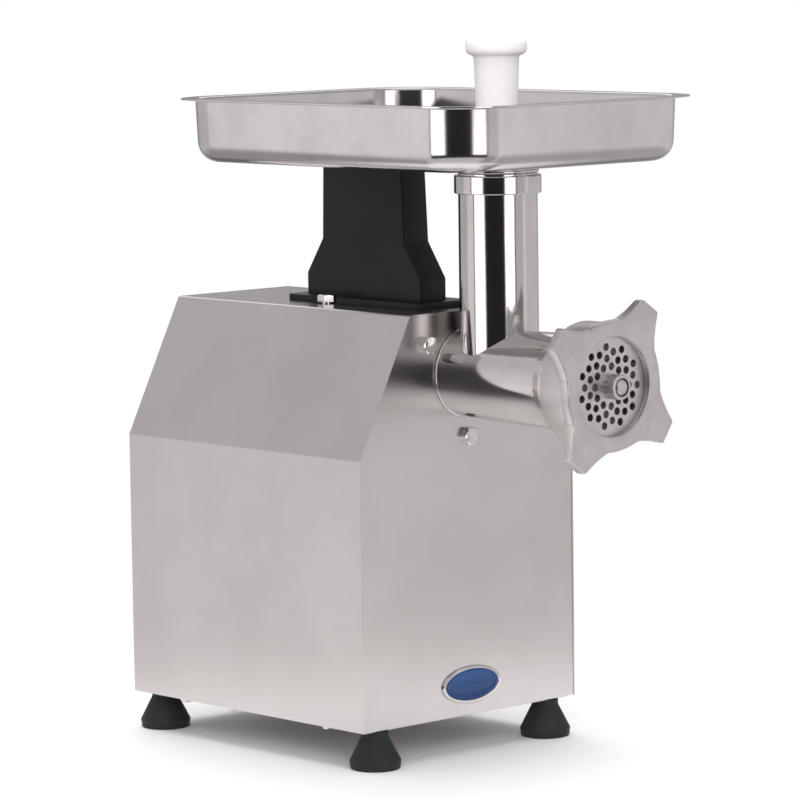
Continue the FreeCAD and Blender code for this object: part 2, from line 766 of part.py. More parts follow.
def gearbox():
    places = ((0.0, head_z, 46.0), (layshaft_x, layshaft_z, 44.0), (0.0, motor_z, 20.0))

    def hull(shrink, y0, y1):
        discs = []
        for x, z, radius in places:
            discs.append(rod_y(radius - shrink, y0, y1, x, z))
        for i in range(len(places)):
            xa, za, ra = places[i]
            xb, zb, rb = places[(i + 1) % len(places)]
            distance = math.hypot(xb - xa, zb - za)
            heading = math.degrees(math.atan2(zb - za, xb - xa))
            lean = math.degrees(math.acos((ra - rb) / distance))
            corners = []
            for side in (1, -1):
                pair = [polar(ra - shrink, heading + side * lean, y0, xa, za),
                        polar(rb - shrink, heading + side * lean, y0, xb, zb)]
                corners += pair if side == 1 else pair[::-1]
            discs.append(prism(corners, vec(0, y1 - y0, 0)))
        discs.append(prism([vec(x, y0, z) for x, z, _ in places], vec(0, y1 - y0, 0)))
        return joined(discs)

    case = hull(0, gear_wall_front, gear_cover_inner)
    case = case.cut(hull(casting_wall, gear_wall_inner, gear_cover_inner + 1))
    lugs = []
    for angle in head_bolt_angles[:2]:
        centre = polar(head_bolt_circle, angle, 0)
        lugs.append(rod_y(9.0, gear_wall_front, gear_wall_inner, centre.x, centre.z))
    case = joined([case] + lugs)
    for angle in head_bolt_angles:
        centre = polar(head_bolt_circle, angle, 0)
        case = case.cut(rod_y(bolt_radius, gear_wall_front - 1, gear_wall_front + 10.5, centre.x, centre.z))
    seal_rear = gear_wall_front + 5
    bores = [rod_y(20.0, gear_wall_front - 1, seal_rear), rod_y(23.5, seal_rear, gear_wall_inner + 1)]
    bores.append(rod_y(13.0, gear_wall_front + 4, gear_wall_inner + 1, layshaft_x, layshaft_z))
    case = case.cut(Part.makeCompound(bores))
    cover = hull(0, gear_cover_inner, gear_cover_rear)
    cover = joined([cover, rod_y(motor_radius, gear_cover_inner, gear_cover_rear, 0, motor_z)])
    cover_bores = [rod_y(17.5, gear_cover_inner - 1, gear_cover_rear - 1),
                   rod_y(13.0, gear_cover_inner - 1, gear_cover_rear - 2, layshaft_x, layshaft_z),
                   rod_y(16.0, gear_cover_inner - 1, gear_cover_rear + 1, 0, motor_z)]
    cover = cover.cut(Part.makeCompound(cover_bores))
    screw_spots = []
    for x, z, radius in places:
        screw_spots.append((x, z, radius - 2.0))
    screws = []
    for spot, angles in zip(screw_spots, ((60.0, 130.0, 190.0), (20.0, 338.0), (225.0, ))):
        x, z, radius = spot
        for angle in angles:
            centre = polar(radius, angle, 0, x, z)
            hole = rod_y(1.5, gear_cover_inner - 15, gear_cover_rear + 1, centre.x, centre.z)
            case = case.cut(hole)
            cover = cover.cut(hole)
            screws.append(pan_screw(vec(centre.x, gear_cover_rear, centre.z), y_axis, 1.9, 1.6, 1.5, 20.0))
    save("gearbox_housing", case)
    save("gearbox_cover", cover)
    save_group("gearbox_screws", screws)
    save("shaft_oil_seal", ring_y(20.0, 12.5 + running_gap, gear_wall_front + 0.2, seal_rear))
    save_group("output_bearings", [
        bearing(23.5, 12.5 + running_gap, seal_rear, gear_wall_inner, 0, head_z),
        bearing(17.5, 8.5 + running_gap, gear_cover_inner, gear_cover_rear - 1, 0, head_z),
    ])
    save_group("intermediate_bearings", [
        bearing(13.0, 6.0 + running_gap, gear_wall_front + 4, gear_wall_inner, layshaft_x, layshaft_z),
        bearing(13.0, 6.0 + running_gap, gear_cover_inner, gear_cover_rear - 2, layshaft_x, layshaft_z),
    ])


# motor

def motor():
    housing = ring_y(motor_radius, motor_bore, gear_cover_rear, motor_rear, 0, motor_z)
    fins = []
    fin_count = 28
    for i in range(fin_count):
        angle = 360.0 * i / fin_count
        fin = block(motor_radius - 1, motor_radius + 5, gear_cover_rear + 8, motor_rear - 8, -0.9, 0.9)
        fin.rotate(vec(0, 0, 0), y_axis, angle)
        fin.translate(vec(0, 0, motor_z))
        fins.append(fin)
    save("motor_housing", joined([housing] + fins))

    core_front = 42.0
    core_rear = 112.0
    core = ring_y(motor_bore, stator_bore, core_front, core_rear, 0, motor_z)
    slots = []
    coils = []
    for i in range(stator_slots):
        angle = 360.0 * i / stator_slots
        slot = block(stator_bore - 1, 50.0, core_front - 1, core_rear + 1, -2.2, 2.2)
        coil = block(39.5, 49.6, core_front - 1, core_rear + 1, -2.1, 2.1)
        for piece, group in ((slot, slots), (coil, coils)):
            piece.rotate(vec(0, 0, 0), y_axis, angle)
            piece.translate(vec(0, 0, motor_z))
            group.append(piece)
    save("stator_core", core.cut(Part.makeCompound(slots)))
    end_front = ring_y(54.0, 38.0, core_front - 15, core_front - 0.5, 0, motor_z)
    end_rear = ring_y(54.0, 38.0, core_rear + 0.5, core_rear + 15, 0, motor_z)
    save("stator_windings", joined([end_front, end_rear] + coils))

    bell = rod_y(motor_radius + 5, motor_rear, bell_rear, 0, motor_z)
    seat = rod_y(16.0, motor_rear - 3, bell_rear, 0, motor_z)
    bell = joined([bell, ring_y(motor_bore, motor_bore - 3, motor_rear - 4, motor_rear + 1, 0, motor_z)])
    bell = bell.cut(seat)
    windows = []
    for i in range(8):
        centre = polar(40.0, 45.0 * i + 22.5, 0, 0, motor_z)
        windows.append(rod_y(9.0, motor_rear - 5, bell_rear + 1, centre.x, centre.z))
    bell = bell.cut(Part.makeCompound(windows))
    bolt_spots = [polar(57.5, 90.0 * i + 45, 0, 0, motor_z) for i in range(4)]
    bolts = []
    for centre in bolt_spots:
        hole = rod_y(2.5, motor_rear - 5, bell_rear + 1, centre.x, centre.z)
        bell = bell.cut(hole)
        seat_point = vec(centre.x, bell_rear, centre.z)
        bolts.append(hex_bolt(seat_point, y_axis, 8.0, 3.5, 2.5, bell_rear - motor_rear + 3))
    save("motor_end_bell", bell)
    save_group("motor_tie_screws", bolts)
    save_group("motor_bearings", [
        bearing(16.0, shaft_radius + running_gap, gear_cover_inner, gear_cover_rear, 0, motor_z),
        bearing(16.0, shaft_radius + running_gap, motor_rear, bell_rear, 0, motor_z),
    ])


def rotor():
    pinion_front = gear_wall_inner + 22.0
    pinion_rear = gear_cover_inner - 1.0
    fan_front = bell_rear + 4.5
    shaft = turned_y([
        (0, pinion_front),
        (4.0, pinion_front),
        (4.0, pinion_rear),
        (shaft_radius, pinion_rear),
        (shaft_radius, fan_front),
        (6.0, fan_front),
        (6.0, fan_front + 15.5),
        (0, fan_front + 15.5),
    ], 0, motor_z)
    save("rotor_shaft", shaft)
    core = ring_y(rotor_radius, shaft_radius, 42.0, 112.0, 0, motor_z)
    end_rings = [
        ring_y(rotor_radius - 2, 18.0, 36.0, 42.0, 0, motor_z),
        ring_y(rotor_radius - 2, 18.0, 112.0, 118.0, 0, motor_z),
    ]
    save("rotor_core", joined([core] + end_rings))
    phase = motor_mesh_direction + 180 + 180.0 / motor_teeth
    pinion = gear(motor_teeth, motor_module, pinion_front, pinion_rear, phase, 0, motor_z)
    save("motor_pinion", pinion.cut(rod_y(4.0, pinion_front - 1, pinion_rear + 1, 0, motor_z)))
    hub = ring_y(11.0, 6.0, fan_front, fan_front + 15, 0, motor_z)
    web = ring_y(56.0, 10.0, fan_front, fan_front + 2, 0, motor_z)
    blades = [hub, web]
    for i in range(11):
        blade = block(16.0, 56.0, fan_front + 1, fan_front + 14, -0.9, 0.9)
        blade.rotate(vec(0, 0, 0), y_axis, 360.0 * i / 11)
        blade.translate(vec(0, 0, motor_z))
        blades.append(blade)
    save("cooling_fan", joined(blades))


def fan_cowl():
    cowl = ring_y(motor_radius + 2, motor_radius + 0.5, bell_rear, cowl_rear, 0, motor_z)
    grille = rod_y(motor_radius + 2, cowl_rear - 1.5, cowl_rear, 0, motor_z)
    holes = []
    for radius, count in ((14.0, 8), (26.0, 14), (38.0, 20), (50.0, 26)):
        for i in range(count):
            centre = polar(radius, 360.0 * i / count, 0, 0, motor_z)
            holes.append(rod_y(3.0, cowl_rear - 3, cowl_rear + 1, centre.x, centre.z))
    grille = grille.cut(Part.makeCompound(holes))
    save("fan_cowl", joined([cowl, grille]))


def motor_saddles():
    saddles = []
    for y in (40.0, 108.0):
        saddle = prism([
            vec(-55, y, shell_bottom),
            vec(55, y, shell_bottom),
            vec(55, y, shell_bottom + 6),
            vec(46, y, motor_z - 44),
            vec(-46, y, motor_z - 44),
            vec(-55, y, shell_bottom + 6),
        ], vec(0, 14, 0))
        saddle = saddle.cut(rod_y(motor_radius + 5, y - 1, y + 15, 0, motor_z))
        window = block(-28, 28, y - 1, y + 15, shell_bottom + 18, motor_z - motor_radius - 20)
        saddles.append(saddle.cut(window))
    save_group("motor_saddles", saddles)


def electrics():
    capacitor = Part.makeCylinder(20.0, 75.0, vec(-78, 60, shell_bottom + 26), y_axis)
    ends = edges_where(capacitor, lambda e: e.Closed)
    save("run_capacitor", capacitor.makeFillet(2.0, ends))
    clip = ring_y(21.5, 20.0, 88.0, 106.0, -78, shell_bottom + 26)
    foot = block(-90, -66, 88.0, 106.0, shell_bottom, shell_bottom + 5.5)
    clip = joined([clip, foot]).cut(rod_y(20.0, 80, 110, -78, shell_bottom + 26))
    save("capacitor_clip", clip)
    rail = block(52, 92, 150, 172, shell_bottom, shell_bottom + 14)
    for i in range(4):
        x = 57 + 10.0 * i
        rail = rail.cut(rod_z(2.2, shell_bottom + 6, shell_bottom + 15, x, 161))
    save("terminal_block", rail)


def rocker_switch():
    bezel_front = rear_face + 2.5
    bezel = block(switch_x - 15, switch_x + 15, rear_face, bezel_front, switch_z - 18, switch_z + 18)
    bezel = bezel.makeFillet(2.5, edges_where(bezel, lambda e: along(e, y_axis)))
    outer = edges_where(bezel, lambda e: e.CenterOfMass.y > bezel_front - 0.01)
    bezel = bezel.makeFillet(0.8, outer)
    clearance = 0.4
    half_opening = rocker_radius + clearance
    half_slot = rocker_half_width + clearance
    opening = block(switch_x - half_slot, switch_x + half_slot, rear_face - 40, bezel_front + 1,
                    switch_z - half_opening, switch_z + half_opening)
    save("switch_bezel", bezel.cut(opening))
    case = block(switch_x - 12.3, switch_x + 12.3, rear_face - 30, rear_face,
                 switch_z - 15.3, switch_z + 15.3)
    cavity = block(switch_x - half_slot, switch_x + half_slot, rear_face - 16, rear_face + 1,
                   switch_z - half_opening, switch_z + half_opening)
    terminals = []
    for row in (-1, 0, 1):
        for side in (-6.0, 6.0):
            z = switch_z + row * 9.0
            terminals.append(block(switch_x + side - 3, switch_x + side + 3, rear_face - 38, rear_face - 29,
                                   z - 0.4, z + 0.4))
    save("switch_body", joined([case.cut(cavity)] + terminals))
    pivot_y = rear_face - 1.0
    disc = Part.makeCylinder(rocker_radius, rocker_half_width * 2,
                             vec(switch_x - rocker_half_width, pivot_y, switch_z), x_axis)
    crest = 7.0
    dip = 4.4
    x = switch_x - rocker_half_width - 1
    keep = prism([
        vec(x, pivot_y - 10, switch_z - 20),
        vec(x, pivot_y - 10, switch_z + 20),
        vec(x, pivot_y + crest, switch_z + 14),
        vec(x, pivot_y + dip, switch_z),
        vec(x, pivot_y + crest, switch_z - 14),
    ], vec(rocker_half_width * 2 + 2, 0, 0))
    save("switch_rocker", disc.common(keep))


def breaker():
    collar = ring_y(10.5, button_radius + 0.4, rear_face, rear_face + 4, button_x, button_z)
    front = edges_where(collar, lambda e: e.Closed and e.CenterOfMass.y > rear_face + 3.9)
    collar = collar.makeChamfer(0.6, front)
    neck = ring_y(8.0, button_radius + 0.4, rear_face - 12, rear_face, button_x, button_z)
    body = block(button_x - 8, button_x + 8, rear_face - 38, rear_face - 12, button_z - 14, button_z + 14)
    save("breaker_body", joined([collar, neck, body]))
    stop_gap = button_travel + moving_gap
    button = rod_y(button_radius, rear_face - 12 + stop_gap, rear_face + 8, button_x, button_z)
    tip = edges_where(button, lambda e: e.Closed and e.CenterOfMass.y > rear_face + 7)
    save("reset_button", button.makeFillet(1.5, tip))


def cable_gland():
    centre = vec(gland_x, rear_face, gland_z)
    hexagon = hex_prism(22.0, centre, vec(0, 5, 0))
    cap = turned_y([
        (0, rear_face + 5),
        (10.2, rear_face + 5),
        (10.2, rear_face + 9),
        (8.6, rear_face + 13),
        (7.6, body_rear + 14),
        (0, body_rear + 14),
    ], gland_x, gland_z)
    stem = rod_y(8.0, rear_face - 12, rear_face, gland_x, gland_z)
    gland = joined([hexagon, cap, stem])
    gland = gland.cut(rod_y(4.2, rear_face - 13, body_rear + 15, gland_x, gland_z))
    save("cable_gland", gland)
    nut = hex_prism(21.0, vec(gland_x, rear_inside - 5, gland_z), vec(0, 5, 0))
    save("gland_nut", nut.cut(rod_y(8.0, rear_inside - 6, rear_inside + 1, gland_x, gland_z)))


# pan, stomper and support

def pan_block(inset, z0, z1, bottom_radius):
    """Drafted body of the pan, narrower at its floor, with a rounded foot."""
    def outline(half_x, half_y, corner, z):
        slab = rounded_slab(half_x, half_y, corner, z, z + 1, pan_y)
        lowest = [f for f in slab.Faces if abs(f.CenterOfMass.z - z) < 0.001]
        return lowest[0].OuterWire

    half_x = pan_half_x - pan_flange - inset
    half_y = pan_half_y - pan_flange - inset
    corner = pan_wall_corner - inset
    low = outline(half_x - pan_draft, half_y - pan_draft, corner - pan_draft / 2, z0)
    high = outline(half_x, half_y, corner, z1)
    body = Part.makeLoft([low, high], True, True)
    foot = edges_where(body, lambda e: abs(e.BoundBox.ZMax - z0) < 0.01)
    return body.makeFillet(bottom_radius, foot)


def feed_pan():
    outer = pan_block(0, pan_bottom, pan_rim, pan_bottom_radius)
    inner = pan_block(pan_sheet, pan_bottom + pan_sheet, pan_rim + 0.5, pan_bottom_radius - pan_sheet)
    rim = rounded_slab(pan_half_x, pan_half_y, pan_rim_corner, pan_rim - pan_hem, pan_rim, pan_y)
    under = rounded_slab(pan_half_x - 1.2, pan_half_y - 1.2, pan_rim_corner - 1.2, pan_rim - 4,
                         pan_rim - pan_sheet, pan_y)
    rim = rim.cut(under)
    pan = joined([outer, rim]).cut(inner)
    pan = pan.cut(rod_z(spigot_inner, pan_bottom - 1, pan_bottom + 3, 0, tube_y))
    save("feed_pan", pan)
    spigot = turned_z([
        (spigot_inner, spigot_bottom + 1),
        (spigot_outer - 0.5, spigot_bottom),
        (spigot_outer, spigot_bottom + 1),
        (spigot_outer, tube_top + moving_gap),
        (bead_radius, tube_top + moving_gap),
        (bead_radius, pan_bottom),
        (spigot_inner, pan_bottom),
    ], 0, tube_y)
    save("pan_spigot", spigot)


def stomper():
    knob_bottom = stomper_top - knob_height
    body = turned_z([
        (0, stomper_bottom),
        (19.0, stomper_bottom),
        (20.5, stomper_bottom + 1.5),
        (20.5, stomper_bottom + 30),
        (15.7, stomper_bottom + 42),
        (15.7, pan_rim - 10),
        (17.5, knob_bottom),
        (knob_radius, knob_bottom),
        (knob_radius, stomper_top),
        (0, stomper_top),
    ], 0, tube_y)
    rims = edges_where(body, lambda e: e.Closed and abs(e.BoundBox.XMax - knob_radius) < 0.01)
    save("stomper", body.makeFillet(3.6, rims))


def pan_support():
    foot_top = shell_top + 5.0
    flange = block(-28, 28, support_y - 78.5, support_y + 73.5, shell_top, foot_top)
    flange = flange.makeFillet(5.0, edges_where(flange, lambda e: along(e, z_axis)))
    profile = prism([
        vec(-support_half_x, support_y - 65.1, shell_top),
        vec(-support_half_x, support_y + 64.7, shell_top),
        vec(-support_half_x, support_y + 64.7, 364.0),
        vec(-support_half_x, support_y + 46.5, 391.5),
        vec(-support_half_x, support_y + 45.5, pan_bottom),
        vec(-support_half_x, support_y - 43.8, pan_bottom),
        vec(-support_half_x, support_y - 46.5, 391.5),
        vec(-support_half_x, support_y - 65.1, 364.0),
    ], vec(support_half_x * 2, 0, 0))
    narrowing = prism([
        vec(-support_half_x, support_y - 100, shell_top - 1),
        vec(support_half_x, support_y - 100, shell_top - 1),
        vec(support_half_x - 1.0, support_y - 100, pan_bottom + 1),
        vec(-support_half_x + 1.0, support_y - 100, pan_bottom + 1),
    ], vec(0, 200, 0))
    tower = profile.common(narrowing)
    upright = edges_where(tower, lambda e: abs(e.CenterOfMass.x) > support_half_x - 1.2 and
                          abs(e.tangentAt(e.FirstParameter).dot(y_axis)) < 0.99 and
                          e.BoundBox.ZMax - e.BoundBox.ZMin > 5)
    tower = tower.makeFillet(1.2, upright)
    support = joined([flange, tower])
    bolts = []
    for x in (-support_bolt_x, support_bolt_x):
        support = support.cut(rod_z(10.0, shell_top + 1.5, foot_top + 1, x, support_bolt_y))
        support = support.cut(rod_z(bolt_radius, shell_top - 1, foot_top + 1, x, support_bolt_y))
        bolts.append(hex_bolt(vec(x, support_bolt_y, shell_top + 1.5), z_axis, bolt_flats, bolt_head,
                              bolt_radius, 12.0))
    save("pan_support", support)
    save_group("support_bolts", bolts)


def build():
    os.makedirs("parts", exist_ok=True)
    side_cover()
    front_panel()
    rear_panel()
    base_tray()
    feet()
    cover_screws()
    badge()
    head_casting()
    head_socket()
    cutting_plate()
    ring_nut()
    knife_and_stud(auger())
    output_train()
    intermediate_train()
    gearbox()
    motor()
    rotor()
    fan_cowl()
    motor_saddles()
    electrics()
    rocker_switch()
    breaker()
    cable_gland()
    feed_pan()
    stomper()
    pan_support()


build()
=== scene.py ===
import json
import math

import bmesh
import bpy
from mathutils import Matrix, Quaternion, Vector


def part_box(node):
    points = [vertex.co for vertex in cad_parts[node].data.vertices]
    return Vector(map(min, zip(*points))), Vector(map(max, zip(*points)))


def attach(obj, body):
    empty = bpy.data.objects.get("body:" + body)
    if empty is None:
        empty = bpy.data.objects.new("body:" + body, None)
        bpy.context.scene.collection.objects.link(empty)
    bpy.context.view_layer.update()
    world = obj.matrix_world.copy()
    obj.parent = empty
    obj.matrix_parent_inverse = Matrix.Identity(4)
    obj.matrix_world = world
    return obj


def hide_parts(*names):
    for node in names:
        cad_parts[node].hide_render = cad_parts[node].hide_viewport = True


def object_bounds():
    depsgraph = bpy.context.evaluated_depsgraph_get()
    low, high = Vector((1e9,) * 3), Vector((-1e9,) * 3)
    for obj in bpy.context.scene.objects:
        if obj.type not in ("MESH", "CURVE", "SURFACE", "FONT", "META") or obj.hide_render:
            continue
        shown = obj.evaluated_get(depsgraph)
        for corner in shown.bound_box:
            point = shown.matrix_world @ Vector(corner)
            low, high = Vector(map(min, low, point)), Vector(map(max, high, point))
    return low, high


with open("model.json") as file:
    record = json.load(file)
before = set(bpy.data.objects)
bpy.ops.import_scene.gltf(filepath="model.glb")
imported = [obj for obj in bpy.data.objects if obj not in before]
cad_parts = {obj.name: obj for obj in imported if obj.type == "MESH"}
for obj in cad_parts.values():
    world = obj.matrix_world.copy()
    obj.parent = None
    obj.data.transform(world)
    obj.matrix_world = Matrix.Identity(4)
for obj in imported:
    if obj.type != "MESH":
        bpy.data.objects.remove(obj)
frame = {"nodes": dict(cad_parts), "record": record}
cadLow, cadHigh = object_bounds()
print("frame loaded, box", [round(v, 4) for v in (*cadLow, *cadHigh)])

# axes and heights that several pieces share, read off the frame
nutLow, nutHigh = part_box("ring_nut")
headHeight = (nutLow.z + nutHigh.z) / 2
spigotLow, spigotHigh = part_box("pan_spigot")
spigotMiddle = (spigotLow + spigotHigh) / 2
spigotRadius = (spigotHigh.x - spigotLow.x) / 2
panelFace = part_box("badge_rim")[1].y
near = 0.0001  # points closer than this count as being on the same level
weldGap = 0.00001  # points closer than this are merged


# one socket of a material, so that sums on it read as plain arithmetic
class Wire:
    def __init__(self, board, socket):
        self.board = board
        self.socket = socket

    def __add__(self, other):
        return self.board.sum("ADD", self, other)

    def __radd__(self, other):
        return self.board.sum("ADD", other, self)

    def __sub__(self, other):
        return self.board.sum("SUBTRACT", self, other)

    def __rsub__(self, other):
        return self.board.sum("SUBTRACT", other, self)

    def __mul__(self, other):
        return self.board.sum("MULTIPLY", self, other)

    def __rmul__(self, other):
        return self.board.sum("MULTIPLY", other, self)


# the nodes of one material or of the room's light
class Board:
    def __init__(self, tree):
        self.tree = tree
        tree.nodes.clear()

    def node(self, kind, settings=None, inputs=None, output=0):
        made = self.tree.nodes.new(kind)
        for key, value in (settings or {}).items():
            setattr(made, key, value)
        for key, value in (inputs or {}).items():
            if isinstance(value, Wire):
                self.tree.links.new(value.socket, made.inputs[key])
            else:
                made.inputs[key].default_value = value
        return Wire(self, made.outputs[output]) if made.outputs else made

    def sum(self, operation, first, second=0.0):
        return self.node("ShaderNodeMath", {"operation": operation}, {0: first, 1: second})

    def root(self, value):
        return self.sum("SQRT", value)

    # 0 below start and 1 above stop, with soft ends
    def ramp(self, value, start, stop):
        return self.node(
            "ShaderNodeMapRange",
            {"interpolation_type": "SMOOTHSTEP"},
            {"Value": value, "From Min": start, "From Max": stop},
        )

    def mix(self, amount, first, second):
        return self.node(
            "ShaderNodeMix", {"data_type": "RGBA"}, {0: amount, 6: first, 7: second}, output=2
        )

    def place(self):
        return self.node("ShaderNodeTexCoord", output=3)  # Object

    def split(self, vector):
        parts = self.tree.nodes.new("ShaderNodeSeparateXYZ")
        self.tree.links.new(vector.socket, parts.inputs[0])
        return [Wire(self, socket) for socket in parts.outputs]

    def stretched(self, scale):
        return self.node("ShaderNodeMapping", None, {"Vector": self.place(), "Scale": scale})

    def noise(self, vector, scale, detail=2.0, rough=0.5):
        return self.node(
            "ShaderNodeTexNoise", None,
            {"Vector": vector, "Scale": scale, "Detail": detail, "Roughness": rough},
        )

    def bump(self, height, strength, distance):
        return self.node(
            "ShaderNodeBump", None, {"Height": height, "Strength": strength, "Distance": distance}
        )

    def surface(self, **sockets):
        inputs = {key.replace("_", " "): value for key, value in sockets.items()}
        shader = self.node("ShaderNodeBsdfPrincipled", None, inputs)
        self.node("ShaderNodeOutputMaterial", None, {"Surface": shader})


def newFinish(name):
    finish = bpy.data.materials.new(name)
    finish.use_nodes = True
    return finish, Board(finish.node_tree)


# a grey that leans to red by the share warm
def grey(value, warm=0.0):
    return (value * (1 + warm), value, value * (1 - warm * 0.4), 1.0)


# sheet with fine grain lines, drawn out along the axis where grain is smallest
def brushedSheet(name, grain, roughness):
    finish, b = newFinish(name)
    lines = b.noise(b.stretched(grain), 1.0, 3.0, 0.6)
    smudge = b.noise(b.place(), 9.0, 3.0, 0.55)  # patches about a hand wide
    tone = b.mix(b.ramp(smudge, 0.3, 0.7), grey(0.60, 0.035), grey(0.66, 0.03))
    tone = b.mix(lines * 0.16, tone, grey(0.50, 0.03))
    b.surface(
        Base_Color=tone, Metallic=1.0, Roughness=roughness + lines * 0.05 + smudge * 0.04,
        Normal=b.bump(lines, 0.06, 0.0002),
    )
    return finish


# mirror-like steel, slightly wavy: a higher wave gives shorter ripples
def polishedSteel(name, wave, roughness):
    finish, b = newFinish(name)
    ripple = b.noise(b.place(), wave, 1.0, 0.4)
    haze = b.noise(b.place(), 26.0, 4.0, 0.6)
    fine = b.noise(b.stretched((500.0, 500.0, 60.0)), 1.0, 2.0)  # polishing marks, longer upwards
    tone = b.mix(b.ramp(haze, 0.35, 0.75), grey(0.69, 0.02), grey(0.62, 0.025))
    b.surface(
        Base_Color=tone, Metallic=1.0, Roughness=roughness + haze * 0.06,
        Normal=b.bump(ripple + fine * 0.02, 0.10, 0.004),
    )
    return finish


# concentric tool marks round the head's axis
def turnedSteel(name, tone, roughness):
    finish, b = newFinish(name)
    x, _, z = b.split(b.place())
    rise = z - headHeight
    radius = b.root(x * x + rise * rise)
    rings = b.node("ShaderNodeCombineXYZ", None, {"X": radius * 2400.0})  # marks per metre
    marks = b.noise(rings, 1.0, 3.0, 0.6)
    blotch = b.noise(b.place(), 60.0, 4.0, 0.6)
    grit = b.noise(b.place(), 1400.0, 2.0)
    colour = b.mix(b.ramp(blotch, 0.3, 0.7), grey(tone, 0.03), grey(tone * 0.88, 0.03))
    b.surface(
        Base_Color=colour, Metallic=1.0, Roughness=roughness + blotch * 0.1,
        Normal=b.bump(marks * 0.3 + grit * 0.7, 0.12, 0.0003),
    )
    return finish


# rough metal of the hidden parts
def castMetal(name, tone):
    finish, b = newFinish(name)
    pits = b.noise(b.place(), 420.0, 5.0, 0.65)
    stain = b.noise(b.place(), 18.0, 3.0)
    colour = b.mix(b.ramp(stain, 0.3, 0.7), grey(tone), grey(tone * 0.8))
    b.surface(
        Base_Color=colour, Metallic=1.0, Roughness=0.42 + pits * 0.2,
        Normal=b.bump(pits, 0.35, 0.0006),
    )
    return finish


# plastic or rubber with a fine moulded grain, also used for varnished wire
def mouldedPlastic(name, colour, worn, roughness, grainSize=2200.0, grainDepth=0.18, gloss=0.22):
    finish, b = newFinish(name)
    grain = b.noise(b.place(), grainSize, 2.0, 0.5)
    cloud = b.noise(b.place(), 22.0, 3.0, 0.5)
    tone = b.mix(b.ramp(cloud, 0.35, 0.75), (*colour, 1.0), (*worn, 1.0))
    b.surface(
        Base_Color=tone, Roughness=roughness + cloud * 0.08 + grain * 0.04, Specular_IOR_Level=gloss,
        Normal=b.bump(grain, grainDepth, 0.0002),
    )
    return finish


# badge enamel with painted shade: darker at its foot, lighter towards its top
def enamel(name, colour, shade):
    finish, b = newFinish(name)
    fleck = b.noise(b.place(), 900.0, 2.0)
    badgeLow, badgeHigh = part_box("oval_badge")
    # painted shade: the colour darkens from the top of the badge down to its foot
    paintedShadeRamp = b.ramp(b.split(b.place())[2], badgeLow.z, badgeHigh.z)
    tone = b.mix(paintedShadeRamp, (*shade, 1.0), (*colour, 1.0))
    b.surface(
        Base_Color=tone, Roughness=0.22 + fleck * 0.06, Coat_Weight=0.25, Coat_Roughness=0.08,
        Specular_IOR_Level=0.25, Normal=b.bump(fleck, 0.04, 0.0001),
    )
    return finish


sideSheet = brushedSheet("brushed sheet, grain along", (1600.0, 14.0, 1600.0), 0.20)
frontSheet = brushedSheet("brushed sheet, grain across", (14.0, 1600.0, 1600.0), 0.19)
headPolish = polishedSteel("polished head casting", 14.0, 0.07)
panPolish = polishedSteel("polished pan sheet", 7.0, 0.11)
nutSteel = turnedSteel("machined nut steel", 0.68, 0.30)
plateSteel = turnedSteel("ground plate steel", 0.72, 0.34)
boltSteel = polishedSteel("bolt steel", 120.0, 0.09)
castAlloy = castMetal("cast alloy", 0.5)
gearSteel = castMetal("gear steel", 0.4)
lamination = castMetal("laminated steel", 0.2)
copperWire = mouldedPlastic("varnished copper wire", (0.40, 0.13, 0.04), (0.30, 0.09, 0.03), 0.3,
                            grainSize=700.0, grainDepth=0.5)
towerPlastic = mouldedPlastic("black tower plastic", (0.006, 0.0075, 0.008), (0.009, 0.011, 0.011), 0.30)
blackPlastic = mouldedPlastic("black fitting plastic", (0.018, 0.019, 0.020), (0.024, 0.025, 0.026), 0.32)
footRubber = mouldedPlastic("black foot rubber", (0.017, 0.020, 0.020), (0.026, 0.030, 0.030), 0.50,
                            grainSize=1300.0, grainDepth=0.35)
whitePlastic = mouldedPlastic("white stomper plastic", (0.95, 0.935, 0.935), (0.91, 0.895, 0.90), 0.30)
redPlastic = mouldedPlastic("red button plastic", (0.42, 0.02, 0.02), (0.36, 0.02, 0.02), 0.28)
# the second blue is the painted shade at the foot of the badge
badgeBlue = enamel("blue badge enamel", (0.014, 0.070, 0.22), (0.008, 0.038, 0.14))
rimSteel = polishedSteel("bright badge rim", 60.0, 0.12)
print("finishes made")

finishOfSlot = {
    "brushed_stainless": sideSheet,
    "polished_stainless": headPolish,
    "machined_steel": nutSteel,
    "black_rubber": footRubber,
    "bolt_steel": boltSteel,
    "silver_rim": rimSteel,
    "blue_badge": badgeBlue,
    "white_plastic": whitePlastic,
    "black_plastic": blackPlastic,
    "switch_plastic": blackPlastic,
    "red_button": redPlastic,
    "cast_aluminium": castAlloy,
    "gear_steel": gearSteel,
    "lamination_steel": lamination,
    "copper_winding": copperWire,
}
finishOfNode = {
    "front_panel": frontSheet,
    "rear_panel": frontSheet,
    "feed_pan": panPolish,
    "pan_spigot": headPolish,
    "cutting_plate": plateSteel,
    "pan_support": towerPlastic,
}


def giveFinish(piece, finish):
    piece.data.materials.clear()
    piece.data.materials.append(finish)


for part in frame["record"]["subparts"]:
    node = part["node"]
    finish = finishOfNode.get(node, finishOfSlot[part["material_slot"]])
    giveFinish(frame["nodes"][node], finish)
print("frame nodes finished")


# back to object mode with nothing selected
def clearPicks():
    if bpy.context.object and bpy.context.object.mode != "OBJECT":
        bpy.ops.object.mode_set(mode="OBJECT")
    bpy.ops.object.select_all(action="DESELECT")


# into edit mode on one piece alone
def openPiece(piece):
    clearPicks()
    bpy.context.view_layer.objects.active = piece
    piece.select_set(True)
    bpy.ops.object.mode_set(mode="EDIT")


def pickFaces(test):
    bpy.ops.mesh.select_all(action="DESELECT")
    bpy.ops.mesh.select_mode(type="FACE")
    shape = bmesh.from_edit_mesh(bpy.context.object.data)
    for face in shape.faces:
        if test(face):
            face.select_set(True)
    bmesh.update_edit_mesh(bpy.context.object.data)


